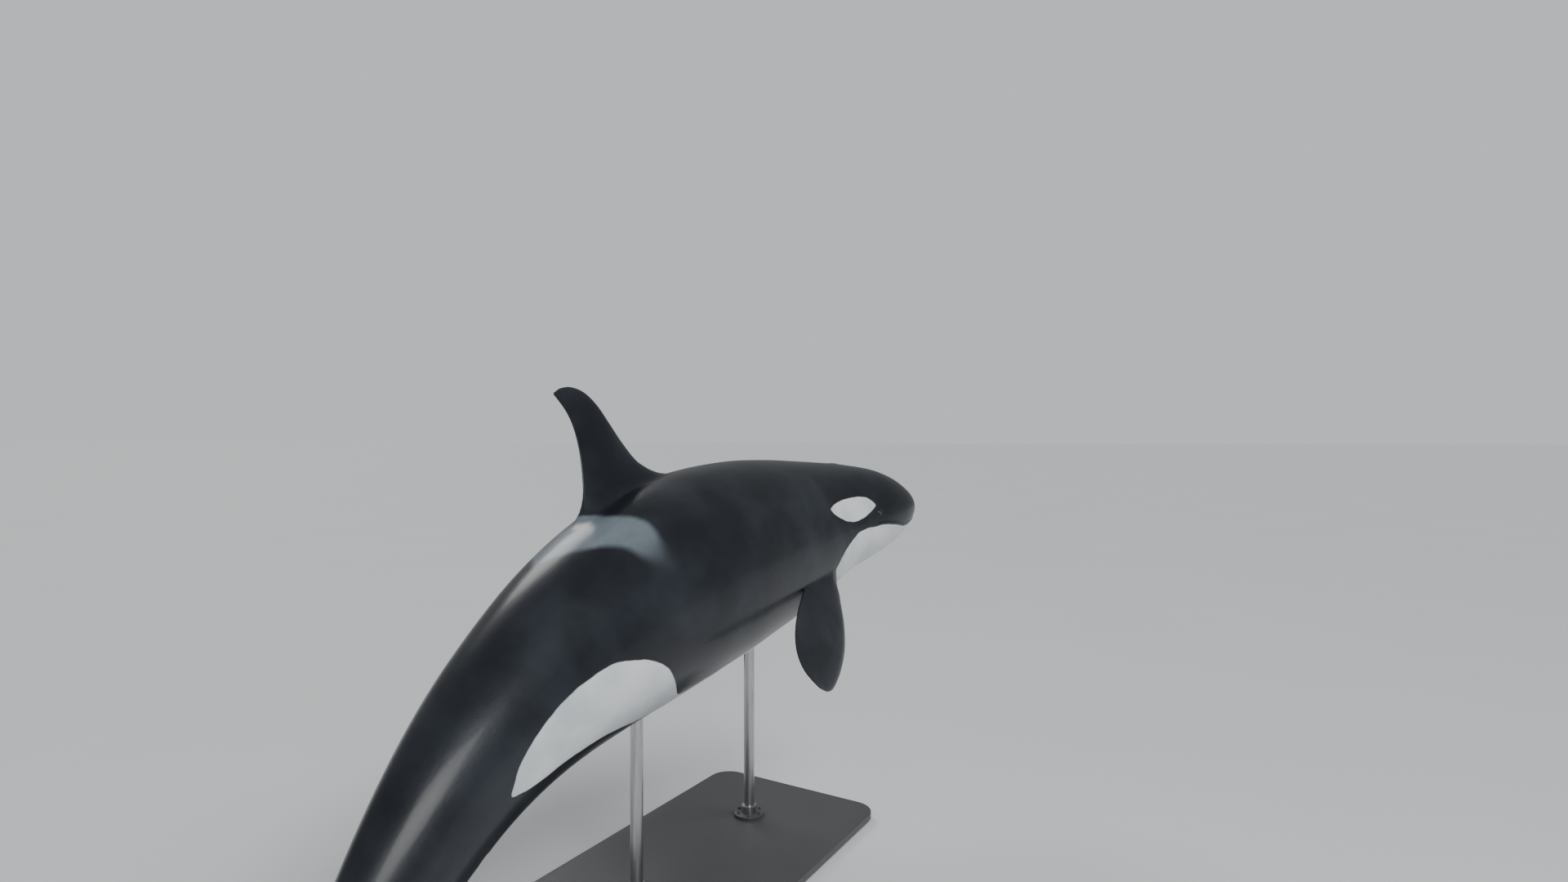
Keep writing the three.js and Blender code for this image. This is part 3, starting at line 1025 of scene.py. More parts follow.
@dataclass
class OrcaSkin:
    """The whole skin of the orca in one closed mesh, with its markings."""

    plan: BodyPlan
    mouth: Mouth
    blowhole: Blowhole
    sides: int = 128
    head_end: float = 0.17
    # Station and the distance between rings there
    ring_spacing: Table = (
        (0.0, 0.008), (0.17, 0.008), (0.3, 0.028), (0.87, 0.028), (0.925, 0.011), (1.0, 0.011),
    )
    ring_steps: int = 6000
    refine_rounds: int = 4
    longest_edge: float = 1.5
    eye_place: Place = Place(0.112, 2)
    eye_radius: float = 0.027
    eye_sink: float = 0.01944
    eye_face: float = 0.009
    eye_zone: float = 0.085
    # Half length and half height in millimetres of each ring of the lids, how far the ring leaves
    # the skin for the eyeball, and how far it stands proud
    lid_rings: Table = (
        (60, 40, 0, 0), (55, 35.5, 0, -0.7), (50.5, 32, 0, 0.7), (47, 29, 0, -1.1),
        (42.5, 26, 0, 1.2), (37, 22.5, 0.15, 3.2), (32, 19.2, 0.45, 3.9), (28, 16.4, 0.8, 3.2),
        (25.6, 14.6, 0.97, 2.0), (24.6, 13.7, 1, 0.8), (24.2, 13.3, 1, -0.5),
        (23.6, 12.8, 1, -5),
    )
    lid_samples: int = 32
    lid_lead_in: int = 2
    dorsal_station: float = 0.48
    pectoral_place: Place = Place(0.266, -36)
    # How far a pectoral fin points out to its side, down and back
    pectoral_reach: tuple[float, float, float] = (0.37, 0.62, 0.69)
    pectoral_twist: float = 17
    fluke_station: float = 0.955
    fluke_lift: float = 4
    pale_border: float = 0.055
    pale_root: float = 0.16
    pale_slope: float = 0.8
    last_foot: float = 0.9978
    root_samples: int = 48
    root_lead_in: int = 4
    root_height: float = 1.1
    bend_rings: int = 7
    hole_margin: Place = Place(0.0003, 0.6)
    least_step: float = 0.01
    tip_crowding: float = 1.15
    tip_share: float = 0.989
    # How wide the last rings of a tip are, and how far past it they lie in thicknesses
    tip_rings: Table = ((0.8, 0.12), (0.45, 0.2))
    far_outside: float = -0.2
    dorsal_lead: Outline = (
        (430, 480), (330, 655), (194, 765), (110, 905), (51, 1042),
        (-6, 1170), (-80, 1262), (-172, 1310), (-260, 1318), (-312, 1304),
    )
    dorsal_trail: Outline = (
        (-430, 480), (-385, 612), (-330, 725), (-278, 885), (-256, 1015),
        (-256, 1110), (-274, 1187), (-299, 1242), (-315, 1272), (-326, 1290),
    )
    pectoral_lead: Outline = (
        (150, -90), (170, 60), (203, 260), (188, 480),
        (118, 700), (25, 880), (-58, 966), (-146, 1002),
    )
    pectoral_trail: Outline = (
        (-170, -90), (-190, 60), (-248, 260), (-316, 480),
        (-354, 690), (-346, 850), (-292, 952), (-196, 1002),
    )
    fluke_lead: Outline = (
        (250, 0.15), (185, 110), (85, 260), (-15, 420),
        (-125, 570), (-235, 690), (-340, 770), (-420, 801),
    )
    fluke_trail: Outline = (
        (-262, 0.15), (-318, 110), (-322, 260), (-305, 420),
        (-300, 560), (-330, 680), (-385, 765), (-432, 799),
    )

    def __post_init__(self) -> None:
        """Lists the reliefs of the skin."""
        self.eye_point = self.plan.skin_point(self.eye_place)
        self.reliefs = [
            self.mouth,
            self.blowhole,
            Crease(self.plan, 0.186, 0.016, -74, -4, depth=0.0016),
            Crease(self.plan, 0.206, 0.018, -80, -14, depth=0.0012),
            Crease(self.plan, 0.79, 0.012, -88, 8, depth=0.002, width=0.02),
            Crease(self.plan, 0.83, 0.01, -88, 0, depth=0.0016, width=0.018),
        ]

    def ring_stations(self) -> list[float]:
        """Where the rings of the trunk lie: close together on the head and by the flukes.

        Returns:
            The stations of the rings between the snout and the notch.
        """
        spacing = column(self.ring_spacing, 1)
        count, stations, total, last_width = 0, [], 0.0, 0.0
        for i in range(1, self.ring_steps):
            station = mix(self.plan.snout_tip, 1.0, i / self.ring_steps)
            width = self.plan.section(station)[2]
            total += math.hypot(self.plan.length / self.ring_steps, width - last_width) / spacing(station)
            last_width = width
            if total >= count + 0.5:
                stations.append(station)
                count = int(total + 0.5)
        return stations

    def trunk(self) -> SkinMesh:
        """The trunk from snout to notch, made from a globe whose parallels become its rings.

        Returns:
            The closed mesh, which still has no eyes and no fins.
        """
        skin = SkinMesh(self.plan)
        stations = [self.plan.snout_tip, *self.ring_stations(), 1.0]
        rows = len(stations) - 1
        bmesh.ops.create_uvsphere(skin.bm, u_segments=self.sides, v_segments=rows, radius=1)
        for vert in skin.bm.verts:
            row = round(math.acos(min(max(vert.co.z, -1), 1)) / math.pi * rows)
            side = round(math.atan2(vert.co.y, vert.co.x) / CIRCLE * self.sides)
            skin.put(vert, Place(stations[row], 360 * side / self.sides))
        self.refine(skin)
        self.settle(skin)
        bmesh.ops.remove_doubles(skin.bm, verts=skin.bm.verts, dist=1e-5)
        many_sided = [face for face in skin.bm.faces if len(face.verts) > 4]
        bmesh.ops.triangulate(skin.bm, faces=many_sided)
        return skin

    def surface(self, place: Place) -> Vector:
        """The skin at a place, with lips, folds and the blowhole.

        Args:
            place: a place on the skin.

        Returns:
            The point.
        """
        point = self.plan.skin_point(place)
        rise = sum(relief.rise(place) for relief in self.reliefs)
        return point + self.plan.skin_normal(place) * rise if abs(rise) > 1e-6 else point

    def spacing(self, place: Place) -> float:
        """The size of face that the skin needs at a place.

        Args:
            place: a place on the skin.

        Returns:
            The length of an edge.
        """
        needed = min(relief.spacing(place) for relief in self.reliefs)
        here = self.plan.skin_point(Place(place.station, folded(place.angle)))
        return min(needed, self.eye_face) if (self.eye_point - here).length < self.eye_zone else needed

    def settle(self, skin: SkinMesh) -> None:
        """Moves every point to its place on the surface."""
        for vert in skin.bm.verts:
            vert.co = self.surface(skin.place(vert))

    def refine(self, skin: SkinMesh) -> None:
        """Divides the edges of the head that are longer than the reliefs allow.

        Args:
            skin: the skin.
        """
        for vert in skin.bm.verts:
            vert.co = self.plan.skin_point(skin.place(vert))
        for _ in range(self.refine_rounds):
            head = [vert for vert in skin.bm.verts if vert[skin.station] < self.head_end]
            needed = {vert: self.spacing(skin.place(vert)) for vert in head}
            long_edges = [
                edge for edge in skin.bm.edges
                if all(vert in needed for vert in edge.verts)
                and edge.calc_length() > self.longest_edge * min(needed[vert] for vert in edge.verts)
            ]
            if not long_edges:
                break
            bmesh.ops.subdivide_edges(skin.bm, edges=long_edges, cuts=1, use_grid_fill=True)
            for vert in skin.bm.verts:
                if vert[skin.station] < self.head_end:
                    vert.co = self.plan.skin_point(skin.place(vert))

    def open_patch(
        self, skin: SkinMesh, places: Sequence[Place], centre: float
    ) -> tuple[list[BMVert], list[float]]:
        """Cuts a hole in the skin round a ring of places.

        Args:
            skin: the skin.
            places: the ring that the hole has to hold, at even turns.
            centre: the skin angle in the middle of the hole.

        Returns:
            The points of the rim in order, and the turn of the ring's place abreast of each, in radians.
        """
        def away(angle: float) -> float:
            """The angle from the middle of the hole."""
            return turn_between(centre, angle)

        stations = [place.station for place in places]
        angles = [away(place.angle) for place in places]
        margin = self.hole_margin
        front, rear = min(stations) - margin.station, max(stations) + margin.station
        low, high = min(angles) - margin.angle, max(angles) + margin.angle
        middle, tilt = sum(stations) / len(stations), sum(angles) / len(angles)

        def bearing(station: float, angle: float) -> float:
            """The direction of a place from the middle of the hole."""
            return math.atan2((angle - tilt) / (high - low), (middle - station) / (rear - front))

        bearings = [bearing(station, angle) for station, angle in zip(stations, angles)]
        gaps = [turn_between(a, b, CIRCLE) for a, b in zip(bearings, bearings[1:] + bearings[:1])]
        steps = [max(gap, self.least_step) for gap in gaps]
        steps = [step * CIRCLE / sum(steps) for step in steps]

        def turn_at(wanted: float) -> float:
            """The turn of the ring's place in a direction.

            Args:
                wanted: the direction in radians.

            Returns:
                The turn in radians.
            """
            gap = (wanted - bearings[0]) % CIRCLE
            for k, step in enumerate(steps):
                if gap <= step:
                    return (k + gap / step) * CIRCLE / len(steps)
                gap -= step
            return CIRCLE

        def inside(vert: BMVert) -> bool:
            """Whether a point of the trunk lies in the hole.

            Args:
                vert: the point.

            Returns:
                True inside the hole.
            """
            if vert[skin.on_fin] or not front < vert[skin.station] < rear:
                return False
            return low < away(skin.place(vert).angle) < high

        verts = [vert for vert in skin.bm.verts if inside(vert)]
        while verts:
            doomed = {face for vert in verts for face in vert.link_faces}
            bmesh.ops.delete(skin.bm, geom=list(doomed), context="FACES")
            # A point where two holes meet by a corner goes too
            verts = [vert for vert in skin.bm.verts if sum(e.is_boundary for e in vert.link_edges) > 2]
        loop = skin.rim()
        turns = [turn_at(bearing(vert[skin.station], away(skin.place(vert).angle))) for vert in loop]
        if sum(turn_between(a, b, CIRCLE) for a, b in zip(turns, turns[1:])) < 0:
            loop.reverse()
            turns.reverse()
        return loop, turns

    def lead_in(self, skin: SkinMesh, loop: list[BMVert], places: list[Place], rings: int) -> list[BMVert]:
        """Leads the skin from a square hole to a round ring of places, in rings on the surface.

        Args:
            skin: the skin.
            loop: the rim of the hole.
            places: the ring to reach, one place for each point of the rim.
            rings: how many rings of faces to use.

        Returns:
            The rim that lies on the places.
        """
        starts = [skin.place(vert) for vert in loop]
        for k in range(1, rings + 1):
            share = k / rings
            ring = []
            for start, end in zip(starts, places):
                turn = turn_between(start.angle, end.angle)
                ring.append(Place(mix(start.station, end.station, share), start.angle + turn * share))
            loop = skin.extend(loop, [self.surface(place) for place in ring])
            for vert, place in zip(loop, ring):
                skin.put(vert, place)
        return loop

    def graft_blade(self, skin: SkinMesh, blade: Blade, centre: float) -> None:
        """Grows a fin or a fluke out of the skin, with a rounded root.

        Args:
            skin: the skin.
            blade: the fin's shape.
            centre: the skin angle that it grows from.
        """
        def root(turn: float) -> tuple[Place, Vector]:
            """Where the rounding of the root starts on the trunk, and the skin under the blade itself.

            Args:
                turn: the angle round the blade's section in radians.

            Returns:
                The place of the first and the point of the second.
            """
            share = blade.share_above(self.plan, turn, 0.0)
            corner = blade.point(share, turn)
            start = corner + blade.outward(share, turn) * blade.root_reach(turn)
            place = self.plan.place_of(start, blade.guess)[0]
            under = self.plan.place_of(corner, blade.guess)[0]
            return Place(min(place.station, self.last_foot), place.angle), self.plan.skin_point(under)

        count = self.root_samples
        rim, turns = self.open_patch(skin, [root(CIRCLE * k / count)[0] for k in range(count)], centre)
        roots = [root(turn) for turn in turns]
        loop = self.lead_in(skin, rim, [foot for foot, _ in roots], self.root_lead_in)
        heights = [self.root_height * max(blade.root_reach(turn), blade.fillet) for turn in turns]
        tops = [blade.share_above(self.plan, turn, height) for turn, height in zip(turns, heights)]
        ends = [blade.point(share, turn) for share, turn in zip(tops, turns)]
        bends = [(vert.co.copy(), corner, end) for vert, (_, corner), end in zip(loop, roots, ends)]
        for k in range(1, self.bend_rings + 1):
            u = k / self.bend_rings
            points = [a * (1 - u) ** 2 + b * (2 * u * (1 - u)) + c * u**2 for a, b, c in bends]
            loop = skin.extend(loop, points)
            for vert, (foot, _) in zip(loop, roots):
                skin.put(vert, foot)
                vert[skin.on_fin] = mix(0.001, 0.999, smoothstep(0.15, 0.95, u))
        for k in range(1, blade.rings + 1):
            share = 1 - (1 - k / blade.rings) ** self.tip_crowding
            shares = [mix(top, self.tip_share, share) for top in tops]
            loop = skin.extend(loop, [blade.point(s, turn) for s, turn in zip(shares, turns)])
            self.note_fin(skin, loop, blade, shares, turns)
        middle = middle_of(loop)
        for width, beyond in self.tip_rings:
            reach = blade.tip_thickness * beyond
            loop = skin.extend(loop, [middle.lerp(vert.co, width) + blade.out * reach for vert in loop])
            self.note_fin(skin, loop, blade, [self.tip_share] * len(loop), turns)
        skin.close(loop)

    def note_fin(
        self, skin: SkinMesh, loop: list[BMVert], blade: Blade, shares: list[float], turns: list[float]
    ) -> None:
        """Notes the markings of a ring of fin points: black, but for the pale underside of the flukes.

        Args:
            skin: the skin.
            loop: the points of the ring.
            blade: the fin.
            shares: how far out on the blade each point is.
            turns: each point's angle round the section, in radians.
        """
        border, slope = self.pale_border, self.pale_slope
        for vert, share, turn in zip(loop, shares, turns):
            vert[skin.on_fin] = 1.0
            pale = self.far_outside
            if blade.pale_below:
                chord = (blade.point(share, 0) - blade.point(share, math.pi)).length
                edge = (1 - abs(math.cos(turn))) / 2 * chord
                below = -math.sin(turn) * math.copysign(1, blade.normal.z)
                root, tip = (share - self.pale_root) * slope, (1 - share) * slope
                pale = min(edge - border, root, tip - border) if below > 0 else -edge - border
            vert[skin.white] = pale
            vert[skin.grey] = self.far_outside

    def graft_eye(self, skin: SkinMesh, side: Side) -> None:
        """Opens the lids round an eye.

        Args:
            skin: the skin.
            side: the side of the head.
        """
        place = Place(self.eye_place.station, side.angle(self.eye_place.angle))
        local = LocalFrame(self.plan, place)
        ball = local.at - local.normal * self.eye_sink
        up = 1 if side is Side.RIGHT else -1

        def offset(ring: tuple[float, ...], turn: float) -> tuple[float, float]:
            """How far forward and across a ring's point lies: an almond, fuller on top.

            Args:
                ring: the ring's row of the table.
                turn: the angle round the eye in radians.

            Returns:
                The two distances.
            """
            narrow = 1 - 0.28 * math.cos(turn) ** 4 * (1 - ring[2] * 0.3)
            droop = 0.06 * math.cos(turn)
            return ring[0] * MM * math.cos(turn), ring[1] * MM * (math.sin(turn) * narrow - droop * up)

        outer, *inner = self.lid_rings
        count = self.lid_samples
        samples = [local.above(*offset(outer, CIRCLE * k / count)) for k in range(count)]
        rim, turns = self.open_patch(skin, samples, place.angle)
        targets = [local.above(*offset(outer, turn)) for turn in turns]
        loop = self.lead_in(skin, rim, targets, self.lid_lead_in)
        for ring in inner:
            points, places = [], []
            for turn in turns:
                ahead, across = offset(ring, turn)
                spot = local.above(ahead, across)
                hood = 1 + 0.35 * max(math.sin(turn) * up, 0.0)
                on_skin = self.surface(spot)
                away = min(math.hypot(ahead, across), self.eye_radius * 0.98)
                bulge = math.sqrt(self.eye_radius**2 - away**2)
                on_ball = ball + local.forward * ahead + local.across * across + local.normal * bulge
                folds = mix(0.15, 1.0, math.sin(turn) ** 2) if ring[2] == 0 else 1.0
                proud = ring[3] * MM * (hood if ring[3] > 0 else 1) * folds
                points.append(on_skin.lerp(on_ball, ring[2]) + local.normal * proud)
                places.append(spot)
            loop = skin.extend(loop, points)
            for vert, spot in zip(loop, places):
                skin.put(vert, spot)
        skin.close(loop)

    def dorsal_fin(self) -> Blade:
        """The tall fin on the back.

        Returns:
            The blade.
        """
        ridge = self.plan.frame_at(self.dorsal_station)
        return Blade(
            root=ridge.at, forward=ridge.forward, out=ridge.up,
            lead=self.dorsal_lead, trail=self.dorsal_trail,
            tip_thickness=0.014, root_thickness=0.12, taper=1.4, lift=0.0,
            guess=self.dorsal_station, fillet=0.055, front_fillet=0.1, rear_fillet=0.13, rings=40,
        )

    def pectoral_fin(self, side: Side) -> Blade:
        """The paddle of one side.

        Args:
            side: which side.

        Returns:
            The blade.
        """
        sign, station = side.value, self.pectoral_place.station
        shoulder = self.plan.frame_at(station)
        aside, down, back = self.pectoral_reach
        out = (shoulder.left * (-aside * sign) - shoulder.up * down - shoulder.forward * back).normalized()
        forward = (shoulder.forward - out * shoulder.forward.dot(out)).normalized()
        twist = Matrix.Rotation(math.radians(-self.pectoral_twist * sign), 3, out)
        return Blade(
            root=self.plan.skin_point(Place(station, side.angle(self.pectoral_place.angle))),
            forward=twist @ forward, out=out,
            lead=self.pectoral_lead, trail=self.pectoral_trail,
            tip_thickness=0.014, root_thickness=0.096, taper=1.2, lift=0.06 * sign,
            guess=station, fillet=0.045, front_fillet=0.11, rear_fillet=0.025, rings=32,
        )

    def fluke(self, side: Side) -> Blade:
        """The fluke of one side.

        Args:
            side: which side.

        Returns:
            The blade.
        """
        sign, tail = side.value, self.plan.frame_at(self.fluke_station)
        turned = Matrix.Rotation(math.radians(self.fluke_lift), 3, tail.left) @ tail.forward
        return Blade(
            root=tail.at, forward=turned, out=tail.left * -sign,
            lead=self.fluke_lead, trail=self.fluke_trail,
            tip_thickness=0.01, root_thickness=0.076, taper=1.3, lift=0.05 * sign,
            guess=self.fluke_station, fillet=0.028, front_fillet=0.06, rear_fillet=0.013, rings=34,
            pale_below=True,
        )

    def mark(self, skin: SkinMesh, markings: Markings) -> None:
        """Writes the distances from the markings, and where each point is on the straightened body.

        Args:
            skin: the skin.
            markings: the white and grey fields.
        """
        for vert in skin.bm.verts:
            station, fin = vert[skin.station], vert[skin.on_fin]
            if fin < 1:
                place = skin.place(vert)
                plain = self.plan.skin_point(place)
                vert[skin.white] = mix(markings.white(place, plain), self.far_outside, fin)
                vert[skin.grey] = mix(markings.grey(place, plain), self.far_outside, fin)
            if fin > 0:
                station, left, up = self.plan.straightened(vert.co, station)
            else:
                left, up = self.plan.offsets(place)
            vert[skin.rest] = Vector((-station * self.plan.length, left, up))

    def build(self, material: Material) -> Object:
        """Makes the skin.

        Args:
            material: its finish.

        Returns:
            The finished piece.
        """
        skin = self.trunk()
        for side in Side:
            self.graft_eye(skin, side)
        self.graft_blade(skin, self.dorsal_fin(), 90)
        for side in Side:
            self.graft_blade(skin, self.pectoral_fin(side), side.angle(self.pectoral_place.angle))
            self.graft_blade(skin, self.fluke(side), side.angle(0))
        self.mark(skin, Markings(self.plan, self.mouth))
        bmesh.ops.recalc_face_normals(skin.bm, faces=skin.bm.faces)
        piece = finished("orca_skin", skin.bm, material)
        flesh = [
            "head", "lower_jaw", "chest", "belly_trunk", "hind_trunk", "tail_stock_front", "tail_stock_rear",
            "white_underside", "eye_patch_right", "eye_patch_left", "saddle_patch", "dorsal_fin",
            "pectoral_fin_right", "pectoral_fin_left", "fluke_right", "fluke_left",
        ]
        return dress(piece, flesh)


def placed(name: str, data: ID) -> Object:
    """Makes an object and puts it in the scene.

    Args:
        name: its name.
        data: its mesh, light or camera.

    Returns:
        The object.
    """
    made = bpy.data.objects.new(name, data)
    bpy.context.scene.collection.objects.link(made)
    return made


def finished(name: str, bm: BMesh, material: Material) -> Object:
    """Turns a mesh under construction into an object with its finish.

    Args:
        name: the piece's name.
        bm: the mesh, which is freed.
        material: its finish.

    Returns:
        The new object, shaded smooth.
    """
    mesh = bpy.data.meshes.new(name)
    bm.to_mesh(mesh)
    bm.free()
    mesh.materials.append(material)
    mesh.shade_smooth()
    return placed(name, mesh)


def dress(piece: Object, nodes: Sequence[str]) -> Object:
    """Lets a piece ride on the model in place of some solids, and reports it.

    Args:
        piece: the piece.
        nodes: the solids that it replaces.

    Returns:
        The piece.
    """
    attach(piece, "root")
    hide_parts(*nodes)
    LOG.info("%s: %d faces", piece.name, len(piece.data.polygons))
    return piece


class Wiring:
    """Adds nodes to a material or a node group and joins them up."""

    def __init__(self, tree: NodeTree) -> None:
        """Keeps the tree."""
        self.tree = tree

    def node(self, kind: str, feeds: dict[str | int, object] | None = None, **settings: object) -> Node:
        """Adds a node.

        Args:
            kind: the node's type, without its common prefix.
            feeds: for each input, a socket that feeds it or its plain value.
            settings: the node's own settings.

        Returns:
            The node.
        """
        made = self.tree.nodes.new("ShaderNode" + kind)
        for name, value in settings.items():
            setattr(made, name, value)
        self.feed(made, feeds or {})
        return made

    def feed(self, node: Node, feeds: dict[str | int, object]) -> None:
        """Feeds the inputs of a node.

        Args:
            node: the node.
            feeds: for each input, a socket that feeds it or its plain value.
        """
        for key, value in feeds.items():
            if isinstance(value, NodeSocket):
                self.tree.links.new(value, node.inputs[key])
            else:
                node.inputs[key].default_value = value

    def effect(self, group: NodeTree, feeds: dict[str | int, object]) -> Node:
        """Places a shared effect with its own values."""
        return self.node("Group", feeds, node_tree=group)

    def attribute(self, name: str) -> Node:
        """Reads one of the mesh's own layers."""
        return self.node("Attribute", attribute_name=name)

    def math(self, operation: str, first: object, second: object = 0.0, third: object = 0.0) -> NodeSocket:
        """The result of a sum, product or the like."""
        feeds = {0: first, 1: second, 2: third}
        return self.node("Math", feeds, operation=operation).outputs[0]

    def soften(self, value: object, low: object, high: object) -> NodeSocket:
        """A soft step from 0 at low to 1 at high."""
        made = self.node("MapRange", {0: value, 1: low, 2: high}, interpolation_type="SMOOTHSTEP")
        return made.outputs[0]

    def noise(self, vector: NodeSocket, scale: object, detail: float) -> NodeSocket:
        """Noise around a half, finer for a larger scale."""
        return self.node("TexNoise", {"Vector": vector, "Scale": scale, "Detail": detail}).outputs[0]

    def stretched(self, vector: NodeSocket, scale: tuple[float, ...]) -> NodeSocket:
        """A vector whose patterns are drawn out where the scale is below 1."""
        return self.node("Mapping", {0: vector, 3: scale}).outputs[0]

    def length(self, vector: NodeSocket) -> NodeSocket:
        """The length of a vector."""
        return self.node("VectorMath", {0: vector}, operation="LENGTH").outputs[1]

    def bump(self, strength: float, distance: float, height: NodeSocket) -> NodeSocket:
        """A normal for a fine relief."""
        return self.node("Bump", {"Strength": strength, "Distance": distance, "Height": height}).outputs[0]

    def blend(self, share: object, first: object, second: object) -> NodeSocket:
        """A mix of two colours."""
        return self.node("Mix", {0: share, 6: first, 7: second}, data_type="RGBA").outputs[2]


def new_group(
    name: str, numbers: Sequence[str], outputs: Sequence[str]
) -> tuple[NodeTree, Wiring, dict[str, NodeSocket], Node]:
    """Starts a shader node group that reads a vector and some numbers, and puts out numbers.

    Args:
        name: the group's name.
        numbers: the names of its inputs after the vector.
        outputs: the names of its outputs.

    Returns:
        The group, its wiring, its inputs by name, and the node that holds its outputs.
    """
    group = bpy.data.node_groups.new(name, "ShaderNodeTree")
    group.interface.new_socket("Vector", in_out="INPUT", socket_type="NodeSocketVector")
    for title in numbers:
        group.interface.new_socket(title, in_out="INPUT", socket_type="NodeSocketFloat")
    for title in outputs:
        group.interface.new_socket(title, in_out="OUTPUT", socket_type="NodeSocketFloat")
    given = group.nodes.new("NodeGroupInput")
    result = group.nodes.new("NodeGroupOutput")
    return group, Wiring(group), {title: given.outputs[title] for title in ("Vector", *numbers)}, result


class SharedEffects:
    """Effects that several finishes use, each a node group that is made once."""

    def __init__(self) -> None:
        """Makes the groups."""
        self.ragged_edge = self._ragged_edge()
        self.fine_lines = self._fine_lines()
        self.mottle = self._mottle()

    @staticmethod
    def _ragged_edge() -> NodeTree:
        """A mask that steps at a distance of 0, with a soft and uneven edge.

        Returns:
            The group.
        """
        group, wires, given, result = new_group(
            "ragged edge", ("Distance", "Softness", "Unevenness", "Scale"), ("Mask",)
        )
        noise = wires.noise(given["Vector"], given["Scale"], 5.0)
        shift = wires.math("SUBTRACT", noise, 0.5)
        moved = wires.math("MULTIPLY_ADD", shift, given["Unevenness"], given["Distance"])
        low = wires.math("MULTIPLY", given["Softness"], -1)
        wires.feed(result, {"Mask": wires.soften(moved, low, given["Softness"])})
        return group

    @staticmethod
    def _fine_lines() -> NodeTree:
        """Thin broken lines along the first direction of the vector, as scratches run.

        Returns:
            The group.
        """
        group, wires, given, result = new_group("fine lines", ("Scale", "Share"), ("Mask",))
        tilted = wires.node("Mapping", {0: given["Vector"], 2: (0.2, 0.35, 0.25)}).outputs[0]
        noise = wires.noise(wires.stretched(tilted, (0.03, 1, 1)), given["Scale"], 0.0)
        ridge = wires.math("ABSOLUTE", wires.math("SUBTRACT", noise, 0.5))
        line = wires.soften(ridge, 0.009, 0.0)
        limit = wires.math("SUBTRACT", 0.72, given["Share"])
        where = wires.noise(given["Vector"], 2.3, 3.0)
        patch = wires.soften(where, limit, wires.math("ADD", limit, 0.1))
        wires.feed(result, {"Mask": wires.math("MULTIPLY", line, patch)})
        return group

    @staticmethod
    def _mottle() -> NodeTree:
        """Cloudy and fine-grained variation, both around a half.

        Returns:
            The group.
        """
        group, wires, given, result = new_group("mottle", ("Cloud scale", "Grain scale"), ("Cloud", "Grain"))
        cloud = wires.noise(given["Vector"], given["Cloud scale"], 6.0)
        grain = wires.noise(given["Vector"], given["Grain scale"], 3.0)
        wires.feed(result, {"Cloud": cloud, "Grain": grain})
        return group


def start_material(name: str) -> tuple[Material, Wiring, Node]:
    """Makes a material with a plain shader.

    Args:
        name: the material's name.

    Returns:
        The material, its wiring and its shader node.
    """
    material = bpy.data.materials.new(name)
    material.use_nodes = True
    wires = Wiring(material.node_tree)
    return material, wires, material.node_tree.nodes["Principled BSDF"]


